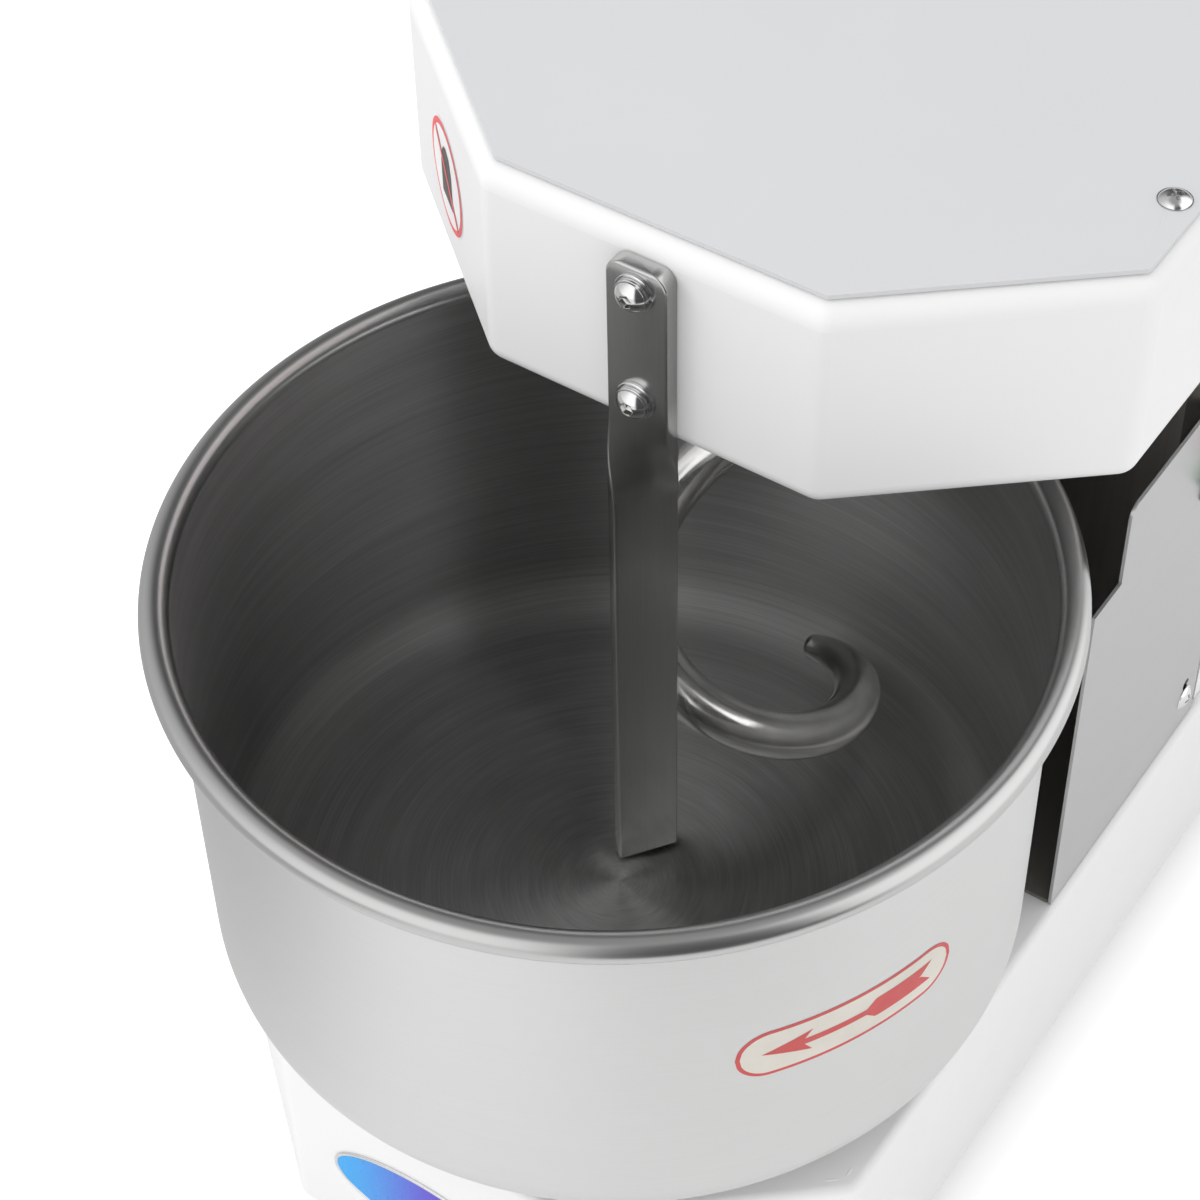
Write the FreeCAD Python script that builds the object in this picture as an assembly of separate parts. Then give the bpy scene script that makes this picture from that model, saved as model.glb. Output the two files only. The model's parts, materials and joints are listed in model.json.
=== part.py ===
import FreeCAD, Part
import math
import os

# Spiral dough mixer, 20-litre class, in millimetres.
# Front of the machine faces -Y, +X is its right-hand side, +Z is up and the floor is z = 0.
# The origin lies on the floor, in the middle of the machine's outline.

# ---------------------------------------------------------------- driving dimensions

# Bowl
BOWL_Y = -150.0            # bowl axis, x = 0
BOWL_INNER_R = 177.6
BOWL_SHEET = 1.2
BOWL_BOTTOM_Z = 153.4      # underside of the bowl's floor
BOWL_CORNER_R = 28.7       # outside radius between wall and floor
RIM_Z = 355.0              # middle of the rolled bead
BEAD_R = 6.2

# White body: base and head share an outline with a three-sided nose
BASE_HALF_W = 168.3
HEAD_HALF_W = 169.3
NOSE_HALF_W = 75.5
NOSE_DEPTH = 79.0          # from the front face to where the sides become parallel
CORNER_R = 10.0            # vertical corners in plan

# Base
BASE_FRONT_Y = -302.0
BASE_REAR_Y = 336.0
BASE_BOTTOM_Z = 30.0
DECK_Z = 143.0
BASE_SHEET = 2.5
DECK_EDGE_R = 4.0
DECK_HOLE_R = 56.0
FOOT_R = 24.0
FOOT_X = 122.0
FOOT_FRONT_Y = -212.0
FOOT_REAR_Y = 300.0
BADGE_HALF = (52.0, 24.0)
BADGE_Z = 83.0
BADGE_T = 1.2

# Head
HEAD_FRONT_Y = -124.3
HEAD_REAR_Y = 340.0
HEAD_BOTTOM_Z = 412.0
HEAD_TOP_Z = 513.0
HEAD_SHEET = 2.0
HEAD_SHOULDER_R = 11.0
HEAD_LOWER_R = 9.0
HEAD_FLANGE_W = 26.0       # inward flange that carries the cover
COVER_T = 2.0
COVER_INSET = 6.0
COVER_CORNER_R = 3.0
COVER_SCREW_X = 153.0
COVER_SCREW_Y = (-3.0, 318.0)
BASE_PLATE_Z = (414.0, 422.0)

# Column
COLUMN_FRONT_Y = 55.0
COLUMN_HALF_W = 150.0
COLUMN_SIDE_END_Y = 130.0
COLUMN_SHEET = 3.0
PANEL_X = 163.5            # inner face of the stainless side panels
PANEL_T = 1.5
PANEL_REAR_Y = 91.0
PANEL_SCREWS = ((78.0, 165.0), (78.0, 352.0))
COVER_SIDE_X = 163.5       # outer face of the painted rear cover
REAR_COVER_Y = (98.0, 316.0)
REAR_COVER_SHEET = 2.0
DRIVE_PLATE_Y = (58.0, 305.0)
DRIVE_PLATE_T = 8.0

# Spiral tool: a left-hand helix of round bar
SPIRAL_Y = -42.0           # spiral axis, x = 0
ROD_R = 11.2
HELIX_R = 50.2
TIP_ANGLE = 78.0           # degrees, seen from above
TIP_Z = 174.5
HELIX_RISE = 10.05         # mm per radian at the tip
HELIX_RISE_GAIN = 2.38     # mm per radian squared
HELIX_TURN = 5.55          # radians at full radius
TIP_R = 5.0                # the bar tapers to a small round end
TAPER_TURN = 1.1           # radians over which it tapers
TIP_DRAW_IN = 4.5          # how far the tip is drawn towards the axis
RUN_IN_TURN = 1.4          # radians from full radius in to the axis
HOOK_TOP_Z = 384.0
HOOK_FLANGE_R = 27.0
HOOK_FLANGE_T = 8.0

# Breaker bar: flat bar on the head's front face, twisted below the head
BAR_W = 27.5
BAR_T = 8.0
BAR_EDGE = 0.9             # broken corners of the section
BAR_TOP_Z = 503.0
BAR_TOP_R = 7.0
BAR_TWIST_Z = (423.0, 380.0)
BAR_TWIST = 54.0           # degrees
BAR_BOTTOM_Z = 157.0
BAR_BOLT_Z = (492.0, 437.5)

# Belt drive: motor -> countershaft -> main shaft -> spiral and bowl
MAIN_AT = (0.0, 105.0)
COUNTER_AT = (-60.0, 225.0)
MOTOR_AT = (70.0, 200.0)
BOWL_AT = (0.0, BOWL_Y)
SPIRAL_AT = (0.0, SPIRAL_Y)
BOWL_BELT_Z = 58.0
MOTOR_BELT_Z = 84.0
COUNTER_BELT_Z = 112.0
SPIRAL_BELT_Z = 463.0
BOWL_PITCH_R = 130.0
BOWL_DRIVE_PITCH_R = 26.0
COUNTER_LARGE_PITCH_R = 80.0
MOTOR_PITCH_R = 20.0
MAIN_DRIVE_PITCH_R = 80.0
COUNTER_SMALL_PITCH_R = 25.0
SPIRAL_PITCH_R = 62.0
BELT_T = 3.5
BELT_W = 12.0
BELT_GAP = 0.3             # between a belt and the drum it runs on
PULLEY_W = 16.0
PULLEY_LIP = 5.0
PULLEY_LIP_W = 1.6

# Shafts and bearings
BOWL_SHAFT_R = 17.5
SPIRAL_SHAFT_R = 17.5
MAIN_SHAFT_R = 12.5
COUNTER_SHAFT_R = 10.0
MOTOR_SHAFT_R = 9.0
RUNNING_FIT = 0.05         # radial
SEAT_FIT = 0.02            # radial, for what is keyed or pressed on

# Controls, on the machine's right-hand side
SWITCH_Z = 328.5
START_Y = 60.0
STOP_Y = 79.0
BUTTON_R = 8.0
START_OUT_X = 171.5        # outer face of the start button
STOP_CAP_X = 171.0         # inner face of the stop button's cap
STOP_CAP_R = 9.5
SWITCH_PLATE_Y = (50.0, 89.5)
SWITCH_PLATE_HALF_H = 12.0
SWITCH_BLOCK_Y = (51.0, 88.5)
TIMER_AT = (170.0, 330.0)  # y, z
TIMER_KNOB_R = 18.0


# ---------------------------------------------------------------- helpers

def vec(x, y, z=0.0):
    return FreeCAD.Vector(x, y, z)


def cylinder(radius, z_low, z_high, at=(0.0, 0.0)):
    return Part.makeCylinder(radius, z_high - z_low, vec(at[0], at[1], z_low))


def tube(outer_r, inner_r, z_low, z_high, at=(0.0, 0.0)):
    return cylinder(outer_r, z_low, z_high, at).cut(cylinder(inner_r, z_low - 1, z_high + 1, at))


def block(x, y, z):
    return Part.makeBox(x[1] - x[0], y[1] - y[0], z[1] - z[0], vec(x[0], y[0], z[0]))


def rod_along(axis, radius, start, length):
    return Part.makeCylinder(radius, length, start, axis)


def hexagon(across_flats, height, base, axis):
    """Hexagonal prism that stands on base and grows along axis."""
    corner_r = across_flats / math.sqrt(3.0)
    corners = [vec(corner_r * math.cos(math.radians(a)), corner_r * math.sin(math.radians(a)))
               for a in range(0, 361, 60)]
    prism = Part.Face(Part.makePolygon(corners)).extrude(vec(0, 0, height))
    prism.Placement = FreeCAD.Placement(base, FreeCAD.Rotation(vec(0, 0, 1), axis))
    return prism


def nosed_outline(front_y, rear_y, half_w):
    """Plan of the base and the head: a front face, two oblique faces and parallel sides."""
    shoulder_y = front_y + NOSE_DEPTH
    right = [(NOSE_HALF_W, front_y), (half_w, shoulder_y), (half_w, rear_y)]
    return right + [(-x, y) for x, y in reversed(right)]


def inset(outline, distance):
    """Convex outline, given anticlockwise, moved inwards by distance."""
    moved = []
    count = len(outline)
    for i in range(count):
        lines = []
        for a, b in ((outline[i - 1], outline[i]), (outline[i], outline[(i + 1) % count])):
            dx, dy = b[0] - a[0], b[1] - a[1]
            length = math.hypot(dx, dy)
            nx, ny = -dy / length, dx / length
            lines.append((nx, ny, nx * a[0] + ny * a[1] + distance))
        (a1, b1, c1), (a2, b2, c2) = lines
        det = a1 * b2 - a2 * b1
        moved.append(((c1 * b2 - c2 * b1) / det, (a1 * c2 - a2 * c1) / det))
    return moved


def rounded_wire(outline, radius, z=0.0):
    """Closed wire through the outline's corners, each rounded with an arc."""
    points = [vec(x, y, z) for x, y in outline]
    count = len(points)
    arcs = []
    for i in range(count):
        here = points[i]
        back = (points[i - 1] - here).normalize()
        ahead = (points[(i + 1) % count] - here).normalize()
        half = back.getAngle(ahead) / 2.0
        reach = radius / math.tan(half)
        bisector = (back + ahead).normalize()
        middle = here + bisector * (radius / math.sin(half) - radius)
        arcs.append((here + back * reach, middle, here + ahead * reach))
    edges = []
    for i in range(count):
        start, middle, end = arcs[i]
        edges.append(Part.Arc(start, middle, end).toShape())
        edges.append(Part.LineSegment(end, arcs[(i + 1) % count][0]).toShape())
    return Part.Wire(edges)


def rounded_prism(outline, radius, z_low, z_high):
    return Part.Face(rounded_wire(outline, radius, z_low)).extrude(vec(0, 0, z_high - z_low))


def rectangle(x, y):
    return [(x[0], y[0]), (x[1], y[0]), (x[1], y[1]), (x[0], y[1])]


def edges_at_height(shape, z):
    return [e for e in shape.Edges if all(abs(v.Z - z) < 1e-6 for v in e.Vertexes)]


def revolve(profile, at=(0.0, 0.0)):
    """Solid of revolution about the vertical axis at a place; profile holds (r, z) corners."""
    points = [vec(r, 0, z) for r, z in profile]
    face = Part.Face(Part.makePolygon(points + points[:1]))
    solid = face.revolve(vec(0, 0, 0), vec(0, 0, 1), 360)
    solid.translate(vec(at[0], at[1]))
    return solid


def around(count, radius, at, start=0.0):
    """Evenly spaced places on a circle about an axis."""
    turns = [math.radians(start + 360.0 * i / count) for i in range(count)]
    return [(at[0] + radius * math.cos(t), at[1] + radius * math.sin(t)) for t in turns]


def fuse(shapes):
    return shapes[0].multiFuse(shapes[1:]).removeSplitter()


def mirrored(shape):
    return shape.mirror(vec(0, 0, 0), vec(1, 0, 0))


def save(name, shape):
    if not shape.isValid():
        raise ValueError(name + " is not a valid shape")
    shape.exportStep("parts/" + name + ".step")


# ---------------------------------------------------------------- base

def base_shell():
    outline = nosed_outline(BASE_FRONT_Y, BASE_REAR_Y, BASE_HALF_W)
    outer = rounded_prism(outline, CORNER_R, BASE_BOTTOM_Z, DECK_Z)
    outer = outer.makeFillet(DECK_EDGE_R, edges_at_height(outer, DECK_Z))
    inner = rounded_prism(inset(outline, BASE_SHEET), CORNER_R - BASE_SHEET,
                          BASE_BOTTOM_Z - 1, DECK_Z - BASE_SHEET)
    inner = inner.makeFillet(DECK_EDGE_R - BASE_SHEET, edges_at_height(inner, DECK_Z - BASE_SHEET))
    shell = outer.cut(inner)
    bowl_hole = cylinder(DECK_HOLE_R, DECK_Z - 10, DECK_Z + 10, BOWL_AT)
    drive_hole = rounded_prism(rectangle((-128, 128), (66, 292)), 12, DECK_Z - 10, DECK_Z + 10)
    return shell.cut(bowl_hole).cut(drive_hole)


def base_bottom_plate():
    outline = inset(nosed_outline(BASE_FRONT_Y, BASE_REAR_Y, BASE_HALF_W), BASE_SHEET + 0.3)
    plate = rounded_prism(outline, CORNER_R - BASE_SHEET, BASE_BOTTOM_Z, BASE_BOTTOM_Z + 3)
    for at in foot_places():
        plate = plate.cut(cylinder(5.3, BASE_BOTTOM_Z - 1, BASE_BOTTOM_Z + 5, at))
    return plate


def foot_places():
    return [(x, y) for x in (-FOOT_X, FOOT_X) for y in (FOOT_FRONT_Y, FOOT_REAR_Y)]


def feet():
    made = []
    for at in foot_places():
        body = revolve([(0, 0), (FOOT_R - 3, 0), (FOOT_R, 4), (FOOT_R - 5, BASE_BOTTOM_Z),
                        (0, BASE_BOTTOM_Z)], at)
        made.append(body.cut(cylinder(5, 12, BASE_BOTTOM_Z + 1, at)))
    return Part.makeCompound(made)


def foot_bolts():
    made = []
    for at in foot_places():
        stud = cylinder(5 - SEAT_FIT, 12.5, 45, at)
        nut = hexagon(17, 8, vec(at[0], at[1], BASE_BOTTOM_Z + 3), vec(0, 0, 1))
        made.append(stud.fuse(nut))
    return Part.makeCompound(made)


def base_badge():
    half_w, half_h = BADGE_HALF
    ellipse = Part.Ellipse(vec(0, 0), half_w, half_h).toShape()
    badge = Part.Face(Part.Wire([ellipse])).extrude(vec(0, 0, BADGE_T))
    badge.rotate(vec(0, 0), vec(1, 0, 0), 90)
    badge.translate(vec(0, BASE_FRONT_Y, BADGE_Z))
    return badge


# ---------------------------------------------------------------- bowl

def bowl():
    outer_r = BOWL_INNER_R + BOWL_SHEET
    low = BOWL_BOTTOM_Z
    inner_corner = BOWL_CORNER_R - BOWL_SHEET
    diagonal = math.sqrt(0.5)

    def corner_arc(wall_r, floor_z, radius):
        centre = vec(wall_r - radius, 0, floor_z + radius)
        middle = centre + vec(radius * diagonal, 0, -radius * diagonal)
        return Part.Arc(vec(centre.x, 0, floor_z), middle, vec(wall_r, 0, centre.z)).toShape()

    outer = corner_arc(outer_r, low, BOWL_CORNER_R)
    inner = corner_arc(BOWL_INNER_R, low + BOWL_SHEET, inner_corner)
    centre_x = outer_r - BOWL_CORNER_R

    def line(a, b):
        return Part.LineSegment(vec(a[0], 0, a[1]), vec(b[0], 0, b[1])).toShape()

    profile = Part.Wire([
        line((0, low), (centre_x, low)),
        outer,
        line((outer_r, low + BOWL_CORNER_R), (outer_r, RIM_Z)),
        line((outer_r, RIM_Z), (BOWL_INNER_R, RIM_Z)),
        line((BOWL_INNER_R, RIM_Z), (BOWL_INNER_R, low + BOWL_CORNER_R)),
        inner,
        line((centre_x, low + BOWL_SHEET), (0, low + BOWL_SHEET)),
        line((0, low + BOWL_SHEET), (0, low)),
    ])
    sheet = Part.Face(profile).revolve(vec(0, 0, 0), vec(0, 0, 1), 360)
    bead = Part.makeTorus(BOWL_INNER_R + BEAD_R, BEAD_R, vec(0, 0, RIM_Z))
    made = fuse([sheet, bead])
    made.translate(vec(0, BOWL_Y))
    return made


def bowl_hub():
    return tube(60, 12, BOWL_BOTTOM_Z - 4, BOWL_BOTTOM_Z, BOWL_AT)


def bowl_shaft():
    top = BOWL_BOTTOM_Z - 4
    flange = cylinder(50, top - 4.4, top, BOWL_AT)
    spigot = cylinder(12 - SEAT_FIT, top, BOWL_BOTTOM_Z - 0.5, BOWL_AT)
    stem = cylinder(BOWL_SHAFT_R, 46, top, BOWL_AT)
    thread = cylinder(12, 42, 46, BOWL_AT)
    return fuse([stem, flange, spigot, thread])


def bowl_housing():
    top = DECK_Z - BASE_SHEET
    body = revolve([(0, 85), (40, 85), (42, 87), (42, top - 14), (48, top - 8), (80, top - 8),
                    (80, top), (0, top)], BOWL_AT)
    body = body.cut(cylinder(BOWL_SHAFT_R + 4, 80, top + 1, BOWL_AT))
    for low in (87, 124):
        body = body.cut(cylinder(31, low, low + 14, BOWL_AT))
    body = body.cut(cylinder(31, 138, top + 1, BOWL_AT)).cut(cylinder(31, 84, 87, BOWL_AT))
    for at in around(6, 68, BOWL_AT, 30):
        body = body.cut(cylinder(4.5, 120, top + 1, at))
    return body


def bowl_housing_bolts():
    top = DECK_Z - BASE_SHEET
    made = []
    for at in around(6, 68, BOWL_AT, 30):
        head = hexagon(13, 5.5, vec(at[0], at[1], top - 13.5), vec(0, 0, 1))
        made.append(head.fuse(cylinder(4, top - 8, top - 0.2, at)))
    return Part.makeCompound(made)


def bearing(outer_r, shaft_r, low, height, at):
    """Ball bearing: two rings and the shielded ball track between them, as one ring."""
    ring = tube(outer_r - SEAT_FIT, shaft_r + RUNNING_FIT, low, low + height, at)
    mean_r = (outer_r + shaft_r) / 2.0
    track = tube(mean_r + 3, mean_r - 3, low, low + height, at)
    shield = tube(mean_r + 3, mean_r - 3, low + 0.8, low + height - 0.8, at)
    return ring.cut(track).multiFuse([shield]).removeSplitter()


def bowl_bearings():
    return Part.makeCompound([bearing(31, BOWL_SHAFT_R, low, 14, BOWL_AT) for low in (87, 124)])


# ---------------------------------------------------------------- pulleys and belts

def pulley(pitch_r, middle_z, at, bore_r):
    """Flanged drum for a flat ribbed belt; large ones have a thin web with round holes."""
    drum_r = pitch_r - BELT_T / 2.0 - BELT_GAP
    lip_r = drum_r + PULLEY_LIP
    low, high = middle_z - PULLEY_W / 2.0, middle_z + PULLEY_W / 2.0
    profile = [(0, low), (lip_r, low), (lip_r, low + PULLEY_LIP_W), (drum_r, low + PULLEY_LIP_W),
               (drum_r, high - PULLEY_LIP_W), (lip_r, high - PULLEY_LIP_W), (lip_r, high), (0, high)]
    made = revolve(profile, at)
    hub_r = bore_r + 10.0
    rim_r = drum_r - 6.0
    if rim_r > hub_r + 15.0:
        for side_low, side_high in ((low - 1, middle_z - 3), (middle_z + 3, high + 1)):
            made = made.cut(tube(rim_r, hub_r, side_low, side_high, at))
        hole_r = (rim_r - hub_r) * 0.3
        for place in around(6, (rim_r + hub_r) / 2.0, at):
            made = made.cut(cylinder(hole_r, low, high, place))
    return made.cut(cylinder(bore_r + SEAT_FIT, low - 1, high + 1, at))


def loop_face(a, radius_a, b, radius_b, z):
    """Face bounded by a taut loop round two circles."""
    distance = math.hypot(b[0] - a[0], b[1] - a[1])
    heading = math.atan2(b[1] - a[1], b[0] - a[0])
    spread = math.acos((radius_a - radius_b) / distance)

    def on(centre, radius, angle):
        return vec(centre[0] + radius * math.cos(angle), centre[1] + radius * math.sin(angle), z)

    a_left, a_right = on(a, radius_a, heading + spread), on(a, radius_a, heading - spread)
    b_left, b_right = on(b, radius_b, heading + spread), on(b, radius_b, heading - spread)
    back = on(a, radius_a, heading + math.pi)
    front = on(b, radius_b, heading)
    return Part.Face(Part.Wire([
        Part.Arc(a_left, back, a_right).toShape(),
        Part.LineSegment(a_right, b_right).toShape(),
        Part.Arc(b_right, front, b_left).toShape(),
        Part.LineSegment(b_left, a_left).toShape(),
    ]))


def belt(a, pitch_a, b, pitch_b, middle_z):
    low = middle_z - BELT_W / 2.0
    outer = loop_face(a, pitch_a + BELT_T / 2, b, pitch_b + BELT_T / 2, low)
    inner = loop_face(a, pitch_a - BELT_T / 2, b, pitch_b - BELT_T / 2, low)
    return outer.cut(inner).extrude(vec(0, 0, BELT_W))


# ---------------------------------------------------------------- shafts and housings

def drive_plate():
    plate = block((-147, 147), DRIVE_PLATE_Y, (DECK_Z, DECK_Z + DRIVE_PLATE_T))
    for at, radius in ((MAIN_AT, 34.3), (COUNTER_AT, 34.3), (MOTOR_AT, 14.0)):
        plate = plate.cut(cylinder(radius, DECK_Z - 1, DECK_Z + 20, at))
    return plate


def hanging_housing(at, bearing_r, shaft_r):
    """Flanged cast housing that stands on the drive plate and hangs down through it."""
    plate_top = DECK_Z + DRIVE_PLATE_T
    made = revolve([(0, 125), (34, 125), (34, plate_top), (42, plate_top), (42, plate_top + 8),
                    (0, plate_top + 8)], at)
    made = made.cut(cylinder(shaft_r + 2, 120, plate_top + 10, at))
    for low in (127, 142):
        made = made.cut(cylinder(bearing_r, low, low + 15, at))
    return made.cut(cylinder(bearing_r - 3, 124, 128, at))


def main_housings():
    plate_top = BASE_PLATE_Z[1]
    upper = revolve([(0, plate_top), (42, plate_top), (42, plate_top + 8), (34, plate_top + 10),
                     (34, plate_top + 23), (0, plate_top + 23)], MAIN_AT)
    upper = upper.cut(cylinder(MAIN_SHAFT_R + 2, plate_top - 1, plate_top + 30, MAIN_AT))
    upper = upper.cut(cylinder(26, plate_top + 6, plate_top + 30, MAIN_AT))
    return Part.makeCompound([hanging_housing(MAIN_AT, 26, MAIN_SHAFT_R), upper])


def shaft_bearings():
    made = [bearing(26, MAIN_SHAFT_R, low, 15, MAIN_AT) for low in (127, 142)]
    made.append(bearing(26, MAIN_SHAFT_R, BASE_PLATE_Z[1] + 6, 15, MAIN_AT))
    made += [bearing(23.5, COUNTER_SHAFT_R, low, 15, COUNTER_AT) for low in (127, 142)]
    made += [bearing(20, MOTOR_SHAFT_R, low, 12, MOTOR_AT) for low in (153, 303)]
    return Part.makeCompound(made)


def main_shaft():
    stem = cylinder(MAIN_SHAFT_R, 46, 474, MAIN_AT)
    collar = tube(17, MAIN_SHAFT_R, 159.5, 166, MAIN_AT)
    return fuse([stem, collar])


def counter_shaft():
    stem = cylinder(COUNTER_SHAFT_R, 73, 166, COUNTER_AT)
    collar = tube(15, COUNTER_SHAFT_R, 159.5, 164, COUNTER_AT)
    return fuse([stem, collar])


# ---------------------------------------------------------------- motor

def motor_housing():
    body = revolve([(0, 151), (68, 151), (68, 159), (62, 163), (62, 315), (0, 315)], MOTOR_AT)
    fins = []
    for turn in range(0, 360, 15):
        fin = block((60, 67), (-1.2, 1.2), (172, 300))
        fin.rotate(vec(0, 0), vec(0, 0, 1), turn)
        fin.translate(vec(*MOTOR_AT))
        fins.append(fin)
    body = body.multiFuse(fins)
    body = body.cut(cylinder(58, 167, 301, MOTOR_AT))
    body = body.cut(cylinder(MOTOR_SHAFT_R + 2, 140, 330, MOTOR_AT))
    for low in (153, 303):
        body = body.cut(cylinder(20, low, low + 12, MOTOR_AT))
    return body.cut(cylinder(20, 165, 168, MOTOR_AT)).cut(cylinder(20, 300, 303, MOTOR_AT))


def motor_stator():
    return tube(58 - SEAT_FIT, 36.5, 176, 292, MOTOR_AT)


def motor_rotor():
    return fuse([cylinder(MOTOR_SHAFT_R, 73, 336, MOTOR_AT), cylinder(35.5, 180, 288, MOTOR_AT)])


def motor_fan():
    hub = tube(16, MOTOR_SHAFT_R + SEAT_FIT, 320, 334, MOTOR_AT)
    disc = tube(50, 14, 320, 322.5, MOTOR_AT)
    blades = []
    for turn in range(0, 360, 45):
        blade = block((14, 49), (-1, 1), (321, 334))
        blade.rotate(vec(0, 0), vec(0, 0, 1), turn)
        blade.translate(vec(*MOTOR_AT))
        blades.append(blade)
    return fuse([hub, disc] + blades)


def motor_fan_cover():
    cup = cylinder(64, 302, 352, MOTOR_AT).cut(cylinder(62 + SEAT_FIT, 301, 350, MOTOR_AT))
    for ring_r in (20, 34, 48):
        for at in around(int(ring_r / 2.5), ring_r, MOTOR_AT):
            cup = cup.cut(cylinder(2.5, 345, 360, at))
    return cup


# ---------------------------------------------------------------- head

def head_shell():
    """Folded sheet box: rounded upper and lower edges, a bottom skin and an open top."""
    outline = nosed_outline(HEAD_FRONT_Y, HEAD_REAR_Y, HEAD_HALF_W)
    sheet = HEAD_SHEET
    outer = rounded_prism(outline, CORNER_R, HEAD_BOTTOM_Z, HEAD_TOP_Z)
    outer = outer.makeFillet(HEAD_SHOULDER_R, edges_at_height(outer, HEAD_TOP_Z))
    outer = outer.makeFillet(HEAD_LOWER_R, edges_at_height(outer, HEAD_BOTTOM_Z))
    low, high = HEAD_BOTTOM_Z + sheet, HEAD_TOP_Z - sheet
    inner = rounded_prism(inset(outline, sheet), CORNER_R - sheet / 2.0, low, high)
    inner = inner.makeFillet(HEAD_SHOULDER_R - sheet, edges_at_height(inner, high))
    inner = inner.makeFillet(HEAD_LOWER_R - sheet, edges_at_height(inner, low))
    opening = rounded_prism(inset(outline, HEAD_FLANGE_W), 8, HEAD_TOP_Z - 20, HEAD_TOP_Z + 5)
    shell = outer.cut(inner).cut(opening)
    for x, y in cover_screw_places():
        shell = shell.cut(cylinder(3.0, HEAD_TOP_Z - 10, HEAD_TOP_Z + 5, (x, y)))
    for z in BAR_BOLT_Z:
        shell = shell.cut(rod_along(vec(0, 1, 0), 4.5, vec(0, HEAD_FRONT_Y - 5, z), 12))
    shell = shell.cut(cylinder(42.3, HEAD_BOTTOM_Z - 1, low + 1, SPIRAL_AT))
    return shell.cut(cylinder(30, HEAD_BOTTOM_Z - 1, low + 1, MAIN_AT))


def cover_screw_places():
    return [(x, y) for x in (-COVER_SCREW_X, COVER_SCREW_X) for y in COVER_SCREW_Y]


def head_cover():
    outline = inset(nosed_outline(HEAD_FRONT_Y, HEAD_REAR_Y, HEAD_HALF_W), COVER_INSET)
    plate = rounded_prism(outline, COVER_CORNER_R, HEAD_TOP_Z, HEAD_TOP_Z + COVER_T)
    for at in cover_screw_places():
        plate = plate.cut(cylinder(3.3, HEAD_TOP_Z - 1, HEAD_TOP_Z + 5, at))
    return plate


def domed_head(radius, height, base, axis):
    """Low domed screw head: a slice of a ball on a flat foot."""
    ball_r = (radius * radius + height * height) / (2.0 * height)
    ball = Part.makeSphere(ball_r, base + axis * (height - ball_r))
    keep = Part.makeCylinder(radius, height, base, axis)
    return ball.common(keep)


def cross_recess(base, axis, side):
    """Tool for a cross slot: two thin blocks that cross on the screw's axis."""
    other = axis.cross(side)
    tools = []
    for along, across in ((side, other), (other, side)):
        corner = base - along * 3.2 - across * 0.6
        face = Part.Face(Part.makePolygon([corner, corner + along * 6.4,
                                           corner + along * 6.4 + across * 1.2,
                                           corner + across * 1.2, corner]))
        tools.append(face.extrude(axis * 6.0))
    return tools[0].fuse(tools[1])


def cross_screw(base, axis, side, head_r, head_h, shank_r, shank_length):
    head = domed_head(head_r, head_h, base, axis)
    head = head.cut(cross_recess(base + axis * (head_h - 2.0), axis, side))
    return head.fuse(rod_along(axis * -1, shank_r, base, shank_length))


def head_cover_screws():
    top = HEAD_TOP_Z + COVER_T
    return Part.makeCompound([
        cross_screw(vec(x, y, top), vec(0, 0, 1), vec(1, 0, 0), 6.8, 3.4, 2.9, 8)
        for x, y in cover_screw_places()])


def head_base_plate():
    outline = inset(nosed_outline(HEAD_FRONT_Y, HEAD_REAR_Y, HEAD_HALF_W), 14)
    plate = rounded_prism(outline, 5, *BASE_PLATE_Z)
    plate = plate.cut(cylinder(42.3, BASE_PLATE_Z[0] - 1, BASE_PLATE_Z[1] + 1, SPIRAL_AT))
    return plate.cut(cylinder(30, BASE_PLATE_Z[0] - 1, BASE_PLATE_Z[1] + 1, MAIN_AT))


def spiral_housing():
    plate_top = BASE_PLATE_Z[1]
    made = revolve([(0, 405), (40, 405), (42, 407), (42, plate_top), (60, plate_top),
                    (60, plate_top + 9), (44, plate_top + 11), (42, 451), (0, 451)], SPIRAL_AT)
    made = made.cut(cylinder(SPIRAL_SHAFT_R + 4, 400, 460, SPIRAL_AT))
    made = made.cut(cylinder(31, 407, 421, SPIRAL_AT)).cut(cylinder(31, 435, 449, SPIRAL_AT))
    made = made.cut(cylinder(31, 404, 407, SPIRAL_AT)).cut(cylinder(31, 449, 452, SPIRAL_AT))
    return made


def spiral_bearings():
    return Part.makeCompound([bearing(31, SPIRAL_SHAFT_R, low, 14, SPIRAL_AT)
                              for low in (407, 435)])


def spiral_shaft():
    stem = cylinder(SPIRAL_SHAFT_R, HOOK_TOP_Z + 8, 474, SPIRAL_AT)
    flange = cylinder(HOOK_FLANGE_R, HOOK_TOP_Z, HOOK_TOP_Z + 8, SPIRAL_AT)
    return fuse([stem, flange])


def spiral_point(turn):
    """Place on the bar's centre line; turn is the angle back from the tip, in radians."""
    angle = math.radians(TIP_ANGLE) - turn
    steady = min(turn, HELIX_TURN)
    z = TIP_Z + HELIX_RISE * steady + HELIX_RISE_GAIN * steady * steady
    radius = HELIX_R - TIP_DRAW_IN * max(0.0, 1.0 - turn / TAPER_TURN) ** 2
    if turn > HELIX_TURN:
        slope = HELIX_RISE + 2.0 * HELIX_RISE_GAIN * HELIX_TURN
        z += slope * (turn - HELIX_TURN)
        share = (turn - HELIX_TURN) / RUN_IN_TURN
        radius *= 1.0 - share * share * (3.0 - 2.0 * share)
    return vec(radius * math.cos(angle), SPIRAL_Y + radius * math.sin(angle), z)


def rod_radius(turn):
    """Radius of the spiral's bar, smaller near its tip."""
    share = min(1.0, turn / TAPER_TURN)
    return TIP_R + (ROD_R - TIP_R) * math.sin(share * math.pi / 2.0)


def smooth_curve(points):
    curve = Part.BSplineCurve()
    curve.interpolate(points)
    return curve


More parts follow.
